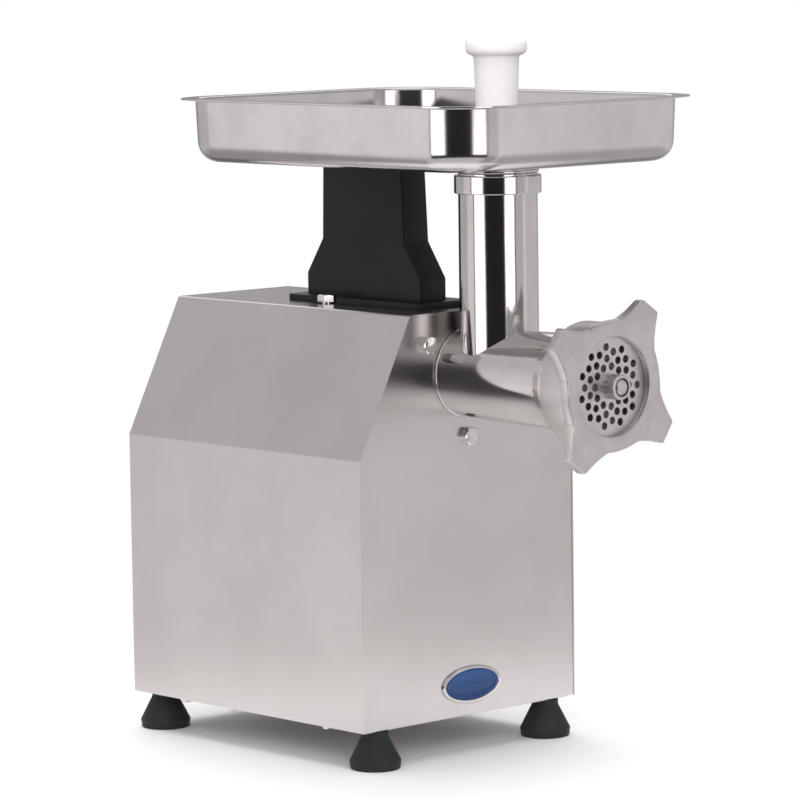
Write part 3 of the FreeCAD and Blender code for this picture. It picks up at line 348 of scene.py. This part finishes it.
def pickEdges(test):
    bpy.ops.mesh.select_all(action="DESELECT")
    bpy.ops.mesh.select_mode(type="EDGE")
    shape = bmesh.from_edit_mesh(bpy.context.object.data)
    for edge in shape.edges:
        if test(edge):
            edge.select_set(True)
    bmesh.update_edit_mesh(bpy.context.object.data)


def drawOut(step):
    bpy.ops.mesh.extrude_region_move(TRANSFORM_OT_translate={"value": step})


def resize(scale, about):
    bpy.ops.transform.resize(value=scale, center_override=about)


def edgeRun(edge):
    return (edge.verts[0].co - edge.verts[1].co).normalized()


def edgeMiddle(edge):
    return (edge.verts[0].co + edge.verts[1].co) / 2


def applyModifier(piece, kind, settings):
    clearPicks()
    bpy.context.view_layer.objects.active = piece
    piece.select_set(True)
    made = piece.modifiers.new("step", kind)
    for key, value in settings.items():
        setattr(made, key, value)
    bpy.ops.object.modifier_apply(modifier=made.name)


# a small round on every edge sharper than the angle
def rollEdges(piece, width, angle, segments=2):
    applyModifier(piece, "BEVEL", {"width": width, "segments": segments, "limit_method": "ANGLE",
                                   "angle_limit": math.radians(angle)})


# cuts one piece away from another, or joins them, and removes the second
def combine(piece, other, operation):
    applyModifier(piece, "BOOLEAN", {"operation": operation, "object": other, "solver": "EXACT"})
    bpy.data.objects.remove(other)


# leaves the place in the mesh, faces outward and edges crisp
def finishPiece(piece, finish, angle=35.0):
    openPiece(piece)
    bpy.ops.mesh.select_all(action="SELECT")
    bpy.ops.mesh.remove_doubles(threshold=weldGap)
    bpy.ops.mesh.normals_make_consistent(inside=False)
    bpy.ops.object.mode_set(mode="OBJECT")
    bpy.ops.object.transform_apply(location=True, rotation=True, scale=True)
    bpy.ops.object.shade_smooth_by_angle(angle=math.radians(angle))
    giveFinish(piece, finish)


# a block between two corners, left open in edit mode
def startBlock(name, low, high):
    clearPicks()
    middle = (Vector(low) + Vector(high)) / 2
    bpy.ops.mesh.primitive_cube_add(size=1.0, location=middle)
    piece = bpy.context.object
    piece.name = name
    piece.scale = Vector(high) - Vector(low)
    bpy.ops.object.transform_apply(location=True, scale=True)
    openPiece(piece)
    return piece


# a disc drawn out ring by ring, each ring (radius, height)
def stackRings(name, centre, rings, sides):
    clearPicks()
    x, y = centre
    radius, height = rings[0]
    bpy.ops.mesh.primitive_circle_add(vertices=sides, radius=radius, fill_type="NGON",
                                      location=(x, y, height))
    piece = bpy.context.object
    piece.name = name
    bpy.ops.object.transform_apply(location=True)
    openPiece(piece)
    bpy.ops.mesh.select_all(action="SELECT")
    for nextRadius, nextHeight in rings[1:]:
        drawOut((0, 0, nextHeight - height))
        ratio = nextRadius / radius
        resize((ratio, ratio, 1.0), (x, y, nextHeight))
        radius, height = nextRadius, nextHeight
    return piece


# folded sheet: a copy of a frame node with its sharp edges rolled over

sheetShape = {
    "rolled": {"side_cover": (0.0005, sideSheet), "front_panel": (0.0004, frontSheet)},
    "flatAngle": 0.5,
    "edgeAngle": 28,
}


def softenEdges(node, width, finish):
    source = frame["nodes"][node]
    clearPicks()
    piece = bpy.data.objects.new(node + "_rolled", source.data.copy())
    bpy.context.scene.collection.objects.link(piece)
    openPiece(piece)
    bpy.ops.mesh.select_all(action="SELECT")
    bpy.ops.mesh.remove_doubles(threshold=weldGap)
    bpy.ops.mesh.dissolve_limited(angle_limit=math.radians(sheetShape["flatAngle"]))
    bpy.ops.object.mode_set(mode="OBJECT")
    rollEdges(piece, width, sheetShape["edgeAngle"])
    finishPiece(piece, finish, angle=32.0)
    applyModifier(piece, "WEIGHTED_NORMAL", {"keep_sharp": True, "weight": 100})  # keeps flat faces flat
    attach(piece, "machine")
    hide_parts(node)


# feed pan: drawn sheet with a flat flange, a turned-down hem and a hole for the spigot

panShape = {
    "sheet": 0.001,
    "flange": 0.011,
    "rimCorner": 0.052,
    "draft": 0.0016,
    "footRadius": 0.015,
    "lipRadius": 0.0024,
    "hem": 0.0011,
    "edge": 0.0003,
    "spigotWall": 0.0044,
    "punchDepth": 0.02,
    "cornerSteps": 14,
    "footSteps": 8,
    "lipSteps": 5,
}


def makePan():
    p = panShape
    low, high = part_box("feed_pan")
    middle = (low + high) / 2
    clearPicks()
    bpy.ops.mesh.primitive_plane_add(size=1.0, location=(middle.x, middle.y, high.z))
    pan = bpy.context.object
    pan.name = "feedPan"
    pan.scale = (high.x - low.x, high.y - low.y, 1.0)
    bpy.ops.object.transform_apply(location=True, scale=True)
    openPiece(pan)
    bpy.ops.mesh.select_all(action="SELECT")
    bpy.ops.mesh.bevel(offset=p["rimCorner"], segments=p["cornerSteps"], affect="VERTICES")
    pickFaces(lambda face: True)
    bpy.ops.mesh.inset(thickness=p["flange"] + p["sheet"])
    floorHeight = low.z + p["sheet"]
    drawOut((0, 0, floorHeight - high.z))
    wallX = (high.x - low.x) / 2 - p["flange"] - p["sheet"]
    wallY = (high.y - low.y) / 2 - p["flange"] - p["sheet"]
    resize((1 - p["draft"] / wallX, 1 - p["draft"] / wallY, 1.0), (middle.x, middle.y, floorHeight))
    pickEdges(lambda edge: all(abs(v.co.z - floorHeight) < near for v in edge.verts))
    bpy.ops.mesh.bevel(offset=p["footRadius"] - p["sheet"], segments=p["footSteps"], affect="EDGES")

    # where the wall turns over into the flange
    def isLip(edge):
        spot = edgeMiddle(edge)
        return (abs(spot.z - high.z) < near and not edge.is_boundary and len(edge.link_faces) == 2
                and abs(spot.x) < wallX + p["sheet"] and abs(spot.y - middle.y) < wallY + p["sheet"]
                and any(abs(face.normal.z) < 0.5 for face in edge.link_faces))

    pickEdges(isLip)
    bpy.ops.mesh.bevel(offset=p["lipRadius"], segments=p["lipSteps"], affect="EDGES")
    pickEdges(lambda edge: edge.is_boundary)
    drawOut((0, 0, -p["hem"]))
    bpy.ops.mesh.select_all(action="SELECT")
    bpy.ops.mesh.normals_make_consistent(inside=False)
    floorFace = max(bmesh.from_edit_mesh(pan.data).faces, key=lambda face: face.calc_area())
    if floorFace.normal.z < 0:
        bpy.ops.mesh.flip_normals()  # the sheet is given its thickness downwards and outwards
    applyModifier(pan, "SOLIDIFY", {"thickness": p["sheet"], "offset": -1.0, "use_even_offset": True})
    clearPicks()
    bpy.ops.mesh.primitive_cylinder_add(vertices=96, radius=spigotRadius - p["spigotWall"],
                                        depth=p["punchDepth"],
                                        location=(spigotMiddle.x, spigotMiddle.y, low.z))
    combine(pan, bpy.context.object, "DIFFERENCE")
    rollEdges(pan, p["edge"], angle=50)
    finishPiece(pan, panPolish, angle=40.0)
    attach(pan, "pan")
    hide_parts("feed_pan")
    print("feed pan made")


# rolled bead of the spigot above the collar, and a lumpy weld where it meets the pan

spigotShape = {
    "bead": {"rise": 0.0030, "sunk": 0.0006, "thick": 0.0020, "lump": 0.0},
    "weld": {"rise": -0.0006, "sunk": 0.0002, "thick": 0.0009, "lump": 0.0009},
    "lumpSize": 0.004,
}


def makeSpigotRings():
    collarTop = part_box("head_casting")[1].z
    lumps = bpy.data.textures.new("weld lumps", "CLOUDS")
    lumps.noise_scale = spigotShape["lumpSize"]
    for name, level, p in (("spigotBead", collarTop, spigotShape["bead"]),
                           ("spigotWeld", spigotHigh.z, spigotShape["weld"])):
        clearPicks()
        bpy.ops.mesh.primitive_torus_add(major_segments=180, minor_segments=14,
                                         major_radius=spigotRadius - p["sunk"], minor_radius=p["thick"],
                                         location=(spigotMiddle.x, spigotMiddle.y, level + p["rise"]))
        ring = bpy.context.object
        ring.name = name
        bpy.ops.object.transform_apply(location=True)
        if p["lump"]:
            applyModifier(ring, "DISPLACE", {"texture": lumps, "strength": p["lump"], "mid_level": 0.6,
                                             "texture_coords": "LOCAL"})
        finishPiece(ring, headPolish, angle=180.0)
        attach(ring, "pan")
    print("spigot rings made")


# stomper: straight handle, piston end and a soft-edged knob with a dished top

stomperShape = {
    "handleRadius": 0.0157,
    "neckRadius": 0.0172,
    "knobHeight": 0.0130,
    "pistonRadius": 0.0205,
    "pistonHeight": 0.030,
    "sides": 96,
}


def makeStomper():
    p = stomperShape
    low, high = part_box("stomper")
    middle = (low + high) / 2
    knob = (high.x - low.x) / 2
    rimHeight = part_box("feed_pan")[1].z
    top = high.z
    under = top - p["knobHeight"]
    rings = [  # from the piston's foot up to the middle of the knob
        (p["pistonRadius"] - 0.0020, low.z),
        (p["pistonRadius"] - 0.0006, low.z + 0.0006),
        (p["pistonRadius"], low.z + 0.002),
        (p["pistonRadius"], low.z + p["pistonHeight"]),
        (p["handleRadius"] + 0.0008, low.z + p["pistonHeight"] + 0.010),
        (p["handleRadius"], low.z + p["pistonHeight"] + 0.014),
        (p["handleRadius"], rimHeight - 0.012),
        (p["neckRadius"] - 0.0004, under - 0.008),
        (p["neckRadius"], under - 0.0022),
        (p["neckRadius"] + 0.0010, under - 0.0006),
        (p["neckRadius"] + 0.0030, under),
        (knob - 0.0034, under + 0.0002),
        (knob - 0.0014, under + 0.0010),
        (knob - 0.0003, under + 0.0026),
        (knob, under + 0.0045),
        (knob, top - 0.0042),
        (knob - 0.0004, top - 0.0026),
        (knob - 0.0014, top - 0.0011),
        (knob - 0.0030, top - 0.0003),
        (knob - 0.0050, top),
        (knob * 0.72, top),
        (knob * 0.66, top - 0.0009),
        (knob * 0.30, top - 0.0012),
    ]
    stomper = stackRings("stomper_body", (middle.x, middle.y), rings, p["sides"])
    finishPiece(stomper, whitePlastic, angle=40.0)
    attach(stomper, "pusher")
    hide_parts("stomper")
    print("stomper made")


# rubber feet: neck, flared cone, grooved tread and a recess for the screw

footShape = {
    "neck": 0.0104,
    "rimHeight": 0.0065,
    "coneTop": 0.0238,
    "recessRadius": 0.0065,
    "recessDepth": 0.014,
    "sides": 72,
}


def makeFeet():
    p = footShape
    for corner in ("front_left", "front_right", "rear_left", "rear_right"):
        node = "foot_" + corner
        low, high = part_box(node)
        middle = (low + high) / 2
        wide = (high.x - low.x) / 2
        rings = [  # down the screw's recess, out under the tread, then up the cone to the neck
            (p["recessRadius"], low.z + p["recessDepth"]),
            (p["recessRadius"], low.z + 0.0004),
            (p["recessRadius"] + 0.0004, low.z),
            (wide - 0.0070, low.z),
            (wide - 0.0066, low.z + 0.0008),
            (wide - 0.0050, low.z + 0.0008),
            (wide - 0.0046, low.z),
            (wide - 0.0018, low.z),
            (wide - 0.0009, low.z + 0.0005),
            (wide - 0.0006, low.z + 0.0014),
            (wide - 0.0001, low.z + p["rimHeight"] - 0.0010),
            (wide, low.z + p["rimHeight"]),
            (wide - 0.0004, low.z + p["rimHeight"] + 0.0006),
            (p["neck"] + 0.0008, low.z + p["coneTop"] - 0.0006),
            (p["neck"] + 0.0002, low.z + p["coneTop"] + 0.0006),
            (p["neck"], low.z + p["coneTop"] + 0.0016),
            (p["neck"], high.z),
        ]
        foot = stackRings(node + "_rubber", (middle.x, middle.y), rings, p["sides"])
        finishPiece(foot, footRubber, angle=32.0)
        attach(foot, "machine")
        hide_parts(node)
    print("feet made")


# moulded tower under the pan, with its foot plate notched round the two bolts

towerShape = {
    "plateHeight": 0.005,
    "shoulderLow": 0.0215,
    "shoulderHigh": 0.049,
    "thick": 0.0275,
    "lowReach": (-0.0651, 0.0647),
    "highReach": (-0.0465, 0.0465),
    "topReach": (-0.0438, 0.0455),
    "highThin": 0.985,
    "topThin": 0.95,
    "setBack": 0.0025,
    "sunk": 0.001,
    "plateCorner": 0.005,
    "plateEdge": 0.0004,
    "notchRadius": 0.010,
    "notchDepth": 0.02,
    "ledge": 0.0015,
    "edge": 0.0011,
}


def makeTower():
    p = towerShape
    low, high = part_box("pan_support")
    boltLow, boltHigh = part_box("support_bolts")
    middleY = (low.y + high.y) / 2 + p["setBack"]
    half = p["thick"] / 2

    # length and centre of the tower between two distances from its middle
    def reach(pair):
        return (pair[1] - pair[0], middleY + (pair[0] + pair[1]) / 2)

    length, centre = reach(p["lowReach"])
    height = low.z + p["shoulderLow"]
    tower = startBlock("panTower", (-half, centre - length / 2, low.z + p["sunk"]),
                       (half, centre + length / 2, height))
    for pair, top, thin in ((p["highReach"], low.z + p["shoulderHigh"], p["highThin"]),
                            (p["topReach"], high.z, p["topThin"])):
        pickFaces(lambda face: face.normal.z > 0.9 and abs(face.calc_center_median().z - height) < near)
        newLength, newCentre = reach(pair)
        drawOut((0, newCentre - centre, top - height))
        resize((thin, newLength / length, 1.0), (0, newCentre, top))
        length, centre, height = newLength, newCentre, top
    pickEdges(lambda edge: abs(edgeRun(edge).y) < 0.999 and abs(edgeRun(edge).x) < 0.5)
    bpy.ops.mesh.bevel(offset=p["edge"], segments=3, affect="EDGES")

    plate = startBlock("towerPlate", (low.x, low.y, low.z), (high.x, high.y, low.z + p["plateHeight"]))
    pickEdges(lambda edge: abs(edgeRun(edge).z) > 0.9)
    bpy.ops.mesh.bevel(offset=p["plateCorner"], segments=8, affect="EDGES")
    pickFaces(lambda face: face.normal.z > 0.9)
    bpy.ops.mesh.inset(thickness=p["plateEdge"])  # a margin that holds the rolled edge
    boltY = (boltLow.y + boltHigh.y) / 2
    boltX = boltHigh.x - (boltHigh.y - boltLow.y) / 2
    for x in (-boltX, boltX):
        clearPicks()
        bpy.ops.mesh.primitive_cylinder_add(vertices=64, radius=p["notchRadius"], depth=p["notchDepth"],
                                            location=(x, boltY, low.z + p["ledge"] + p["notchDepth"] / 2))
        combine(plate, bpy.context.object, "DIFFERENCE")
    rollEdges(plate, p["plateEdge"], angle=50)
    combine(tower, plate, "UNION")
    finishPiece(tower, towerPlastic, angle=30.0)
    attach(tower, "machine")
    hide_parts("pan_support")
    print("tower made")


# blank oval badge: each step is how far inward, then how far forward

badgeShape = {
    "sides": 120,
    "fieldBack": 0.0007,
    "rimSteps": ((0.0, 0.0012), (0.0003, 0.0004), (0.0005, 0.0002), (0.0014, 0.0), (0.0004, -0.0006)),
    "fieldSteps": ((0.0, 0.0004), (0.0003, 0.0002), (0.0011, 0.0001), (0.0004, 0.0002), (0.0005, 0.0),
                   (0.0004, -0.0002), (0.0030, 0.0001)),
}


def makeOval(name, low, high, back, steps, finish, node):
    clearPicks()
    middle = (low + high) / 2
    bpy.ops.mesh.primitive_circle_add(vertices=badgeShape["sides"], radius=1.0, fill_type="NGON",
                                      location=(middle.x, back, middle.z),
                                      rotation=(math.radians(90), 0, 0))
    oval = bpy.context.object
    oval.name = name
    oval.scale = ((high.x - low.x) / 2, (high.z - low.z) / 2, 1.0)
    bpy.ops.object.transform_apply(location=True, rotation=True, scale=True)
    openPiece(oval)
    bpy.ops.mesh.select_all(action="SELECT")
    for inward, forward in steps:
        if inward:
            bpy.ops.mesh.inset(thickness=inward)
            bpy.ops.transform.translate(value=(0, -forward, 0))
        else:
            drawOut((0, -forward, 0))
    finishPiece(oval, finish, angle=30.0)
    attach(oval, "machine")
    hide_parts(node)


def makeBadge():
    rimLow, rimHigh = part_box("badge_rim")
    fieldLow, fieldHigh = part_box("oval_badge")
    makeOval("badgeRim", rimLow, rimHigh, rimHigh.y, badgeShape["rimSteps"], rimSteel,
             "badge_rim")
    makeOval("badgeField", fieldLow, fieldHigh, fieldHigh.y - badgeShape["fieldBack"],
             badgeShape["fieldSteps"], badgeBlue, "oval_badge")
    print("badge made")


# lugged ring nut with softened edges: side, root and valley are (degrees from a lug, distance out)

nutShape = {
    "lugs": 4,
    "firstLug": 55.5,
    "opening": 0.0370,
    "skirtRadius": 0.0470,
    "bore": 0.0443,
    "lugDepth": 0.0087,
    "plateThickness": 0.008,
    "plateGap": 0.0003,
    "edge": 0.0011,
    "skirtEdge": 0.0015,
    "mouthEdge": 0.0007,
    "overcut": 0.01,
    "stepsPerLug": 60,
    "tipReach": 0.0698,
    "tipHalf": 8.0,
    "side": (13.5, 0.0596),
    "root": (26.0, 0.0494),
    "valley": (45.0, 0.0484),
}


# a point at so many degrees and so far out
def polarPoint(turn, reach):
    return Vector((math.cos(math.radians(turn)) * reach, math.sin(math.radians(turn)) * reach))


# how far out an arc through three points lies, seen from the axis
def arcReach(turn, first, second, third):
    a, b, c = (polarPoint(*point) for point in (first, second, third))
    d = 2 * (a.x * (b.y - c.y) + b.x * (c.y - a.y) + c.x * (a.y - b.y))
    middle = Vector((
        (a.dot(a) * (b.y - c.y) + b.dot(b) * (c.y - a.y) + c.dot(c) * (a.y - b.y)) / d,
        (a.dot(a) * (c.x - b.x) + b.dot(b) * (a.x - c.x) + c.dot(c) * (b.x - a.x)) / d,
    ))
    along = polarPoint(turn, 1.0).dot(middle)
    spread = math.sqrt(max(along * along - middle.dot(middle) + (a - middle).dot(a - middle), 0.0))
    share = (turn - first[0]) / (third[0] - first[0])
    guess = first[1] + (third[1] - first[1]) * share
    return min((along - spread, along + spread), key=lambda reach: abs(reach - guess))


# the nut's outline, by degrees away from the middle of a lug
def lugReach(away):
    p = nutShape
    tip = (p["tipHalf"], p["tipReach"])
    if away <= p["tipHalf"]:
        return p["tipReach"] * math.cos(math.radians(p["tipHalf"])) / math.cos(math.radians(away))
    if away <= p["root"][0]:
        return arcReach(away, tip, p["side"], p["root"])
    return arcReach(away, p["root"], p["valley"], (90.0 - p["root"][0], p["root"][1]))


def makeNut():
    p = nutShape
    low, high = nutLow, nutHigh
    centre = (0.0, low.y, headHeight)
    clearPicks()
    bpy.ops.mesh.primitive_circle_add(vertices=p["lugs"] * p["stepsPerLug"], radius=p["skirtRadius"],
                                      fill_type="NGON", location=centre,
                                      rotation=(math.radians(90), math.radians(-p["firstLug"]), 0))
    nut = bpy.context.object
    nut.name = "ringNut"
    bpy.ops.object.transform_apply(location=True, rotation=True)

    # points the same distance from a lug are drawn out together about the axis
    openPiece(nut)
    bpy.ops.mesh.select_mode(type="VERT")
    pitch = 360.0 / p["lugs"]
    groups = {}
    for v in bmesh.from_edit_mesh(nut.data).verts:
        turn = math.degrees(math.atan2(v.co.z - headHeight, v.co.x)) - p["firstLug"]
        groups.setdefault(round(abs((turn + pitch / 2) % pitch - pitch / 2), 1), []).append(v.index)
    for away, members in groups.items():
        bpy.ops.mesh.select_all(action="DESELECT")
        shape = bmesh.from_edit_mesh(nut.data)
        shape.verts.ensure_lookup_table()
        for index in members:
            shape.verts[index].select_set(True)
        ratio = lugReach(away) / p["skirtRadius"]
        resize((ratio, 1.0, ratio), centre)
    bpy.ops.mesh.select_mode(type="FACE")
    bpy.ops.mesh.select_all(action="SELECT")
    drawOut((0, p["lugDepth"], 0))
    bpy.ops.mesh.select_all(action="SELECT")
    bpy.ops.mesh.normals_make_consistent(inside=False)
    rollEdges(nut, p["edge"], angle=50, segments=3)

    # a round bar along the head's axis
    def turnedPart(radius, start, stop):
        clearPicks()
        bpy.ops.mesh.primitive_cylinder_add(vertices=144, radius=radius, depth=stop - start,
                                            location=(0, (start + stop) / 2, headHeight),
                                            rotation=(math.radians(90), 0, 0))
        bpy.ops.object.transform_apply(location=True, rotation=True)
        return bpy.context.object

    skirt = turnedPart(p["skirtRadius"], low.y + p["lugDepth"] * 0.5, high.y)
    rollEdges(skirt, p["skirtEdge"], angle=60, segments=3)
    combine(nut, skirt, "UNION")
    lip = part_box("cutting_plate")[1].y - p["plateThickness"] - p["plateGap"]
    for radius, start in ((p["opening"], low.y - p["overcut"]), (p["bore"], lip)):
        combine(nut, turnedPart(radius, start, high.y + p["overcut"]), "DIFFERENCE")
    openPiece(nut)

    # the rim of the opening on the front face
    def isMouth(edge):
        spot = edgeMiddle(edge)
        return (all(abs(v.co.y - low.y) < near / 2 for v in edge.verts)
                and abs(math.hypot(spot.x, spot.z - headHeight) - p["opening"]) < 3 * near)

    pickEdges(isMouth)
    bpy.ops.mesh.bevel(offset=p["mouthEdge"], segments=3, affect="EDGES")
    finishPiece(nut, nutSteel, angle=30.0)
    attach(nut, "nut")
    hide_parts("ring_nut")
    print("ring nut made")


# fine lip where the barrel meets the front panel

lipShape = {"radius": 0.0338, "thick": 0.0009, "forward": 0.0010}


def makeBarrelLip():
    p = lipShape
    clearPicks()
    bpy.ops.mesh.primitive_torus_add(major_segments=160, minor_segments=12, major_radius=p["radius"],
                                     minor_radius=p["thick"],
                                     location=(0, panelFace - p["forward"], headHeight),
                                     rotation=(math.radians(90), 0, 0))
    lip = bpy.context.object
    lip.name = "barrelLip"
    bpy.ops.object.transform_apply(location=True, rotation=True)
    finishPiece(lip, headPolish, angle=180.0)
    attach(lip, "machine")
    print("barrel lip made")


makePan()
makeSpigotRings()
makeNut()
makeBarrelLip()
makeStomper()
makeFeet()
makeTower()
makeBadge()
for node, (width, finish) in sheetShape["rolled"].items():
    softenEdges(node, width, finish)
print("sheet edges softened")


# room, light and camera

room = {
    "floorTone": 0.79,
    "floorFade": (0.26, 0.56),
    "camera": {"azimuth": -42.73, "elevation": 6.415, "distance": 3.3, "aim": (0.0147, 0.0319, 0.2655),
               "lens": 190.05, "roll": -0.014},
    "overhead softbox": {"place": (0.2, 0.1, 4.5), "aim": (0, 0, 0.2), "size": 5.0, "power": 210.0},
    "front softbox": {"place": (-2.3, -2.5, 1.6), "aim": (0, 0, 0.35), "size": 1.6, "power": 60.0},
}


# the way from what the camera looks at back to the camera
def cameraBack():
    azimuth = math.radians(room["camera"]["azimuth"])
    elevation = math.radians(room["camera"]["elevation"])
    flat = math.cos(elevation)
    return Vector((math.sin(azimuth) * flat, -math.cos(azimuth) * flat, math.sin(elevation)))


def makeCamera():
    values = room["camera"]
    camera = bpy.data.objects.new("view", bpy.data.cameras.new("view"))
    bpy.context.scene.collection.objects.link(camera)
    back = cameraBack()
    camera.location = Vector(values["aim"]) + back * values["distance"]
    camera.rotation_mode = "QUATERNION"
    turn = (-back).to_track_quat("-Z", "Y")
    camera.rotation_quaternion = turn @ Quaternion((0, 0, 1), values["roll"])
    camera.data.lens = values["lens"]
    camera.data.sensor_width = 36.0
    camera.data.clip_end = 50.0
    bpy.context.scene.camera = camera


# a pale studio with two tall light walls and a dark gap between them; the camera itself sees plain white
def makeRoomLight():
    world = bpy.data.worlds.new("studio")
    bpy.context.scene.world = world
    world.use_nodes = True
    b = Board(world.node_tree)
    x, y, z = b.split(b.node("ShaderNodeTexCoord", output=0))
    azimuth = math.radians(room["camera"]["azimuth"])
    toward = x * math.sin(azimuth) + y * -math.cos(azimuth)
    right = x * math.cos(azimuth) + y * math.sin(azimuth)
    turn = b.sum("ARCTAN2", right, toward) * (180.0 / math.pi)  # degrees round from the camera

    # 1 between two turns, 0 outside them
    def wall(start, stop, soft=2.5):
        return b.ramp(turn, start - soft, start + soft) * (1 - b.ramp(turn, stop - soft, stop + soft))

    # the even walls: darker upwards, behind and below, with deeper bands to either side
    behind = b.ramp(b.sum("ABSOLUTE", turn), 138, 158)
    under = 1 - b.ramp(z, -0.55, -0.22)
    level = 0.90 - 0.10 * b.ramp(z, -0.17, -0.06) - 0.19 * b.ramp(z, -0.05, 0.45)
    level = level - wall(46, 76, 5.0) * 0.25 - b.ramp(turn, 80, 89) * 0.17
    level = level - (1 - b.ramp(turn, -107, -99)) * (1 - b.ramp(z, 0.10, 0.30)) * 0.27
    level = level - behind * 0.21 - under * 0.26 + behind * b.ramp(z, 0.25, 0.45) * 0.9

    # the two light walls, the dark gap between them, and the skylight
    lowest = b.ramp(z, -0.34, -0.27)
    tall = (1 - b.ramp(z, 0.22, 0.42)) * b.ramp(z, -0.56, -0.46)
    white = (wall(-74, -42) + wall(18, 46)) * tall * lowest
    edges = wall(47, 50, 1.0) + wall(-78, -75, 1.0)
    dark = (wall(-41, 17) * lowest + edges + wall(-75, 47, 1.0) * (1 - lowest)) * tall
    level = level + white * 1.1 - dark * (level - 0.02)
    level = level + b.ramp(z, 0.80, 0.93) * 0.45
    shade = b.mix(b.ramp(z, -0.05, 0.05), (1.0, 0.945, 0.955, 1.0), (1.0, 0.965, 0.965, 1.0))
    seen = b.node("ShaderNodeLightPath", output=0)  # Is Camera Ray
    lit = b.node("ShaderNodeBackground", None, {"Color": shade, "Strength": level})
    plain = b.node("ShaderNodeBackground", None, {"Color": (1.0, 1.0, 1.0, 1.0), "Strength": 1.0})
    both = b.node("ShaderNodeMixShader", None, {0: seen, 1: lit, 2: plain})
    b.node("ShaderNodeOutputWorld", None, {"Surface": both})


# reflections come from the room alone, so the lamps stay out of them
def makeLamp(name):
    values = room[name]
    place = Vector(values["place"])
    lamp = bpy.data.objects.new(name, bpy.data.lights.new(name, "AREA"))
    bpy.context.scene.collection.objects.link(lamp)
    lamp.data.shape = "SQUARE"
    lamp.data.size = values["size"]
    lamp.data.energy = values["power"]
    lamp.location = place
    lamp.rotation_mode = "QUATERNION"
    lamp.rotation_quaternion = (Vector(values["aim"]) - place).to_track_quat("-Z", "Y")
    lamp.visible_glossy = False


# a round floor that fades out, so that nothing shows where it ends
def makeFloor():
    bpy.ops.mesh.primitive_circle_add(vertices=96, radius=room["floorFade"][1], fill_type="NGON",
                                      location=(0, 0, cadLow.z))
    floor = bpy.context.object
    floor.name = "floor"
    floor.data.transform(floor.matrix_world)
    floor.matrix_world.identity()
    finish, b = newFinish("pale floor")
    cloud = b.noise(b.place(), 2.0, 2.0)
    x, y, _ = b.split(b.place())
    reach = b.root(x * x + y * y)
    tone = b.mix(cloud, grey(room["floorTone"]), grey(room["floorTone"] + 0.03))
    solid = b.node("ShaderNodeBsdfPrincipled", None,
                   {"Base Color": tone, "Roughness": 0.75 + cloud * 0.1, "Specular IOR Level": 0.2})
    gone = b.node("ShaderNodeBsdfTransparent")
    fade = b.ramp(reach, *room["floorFade"])
    both = b.node("ShaderNodeMixShader", None, {0: fade, 1: solid, 2: gone})
    b.node("ShaderNodeOutputMaterial", None, {"Surface": both})
    giveFinish(floor, finish)


makeCamera()
makeRoomLight()
makeLamp("overhead softbox")
makeLamp("front softbox")
makeFloor()
bpy.context.scene.view_settings.view_transform = "Standard"
print("room made")
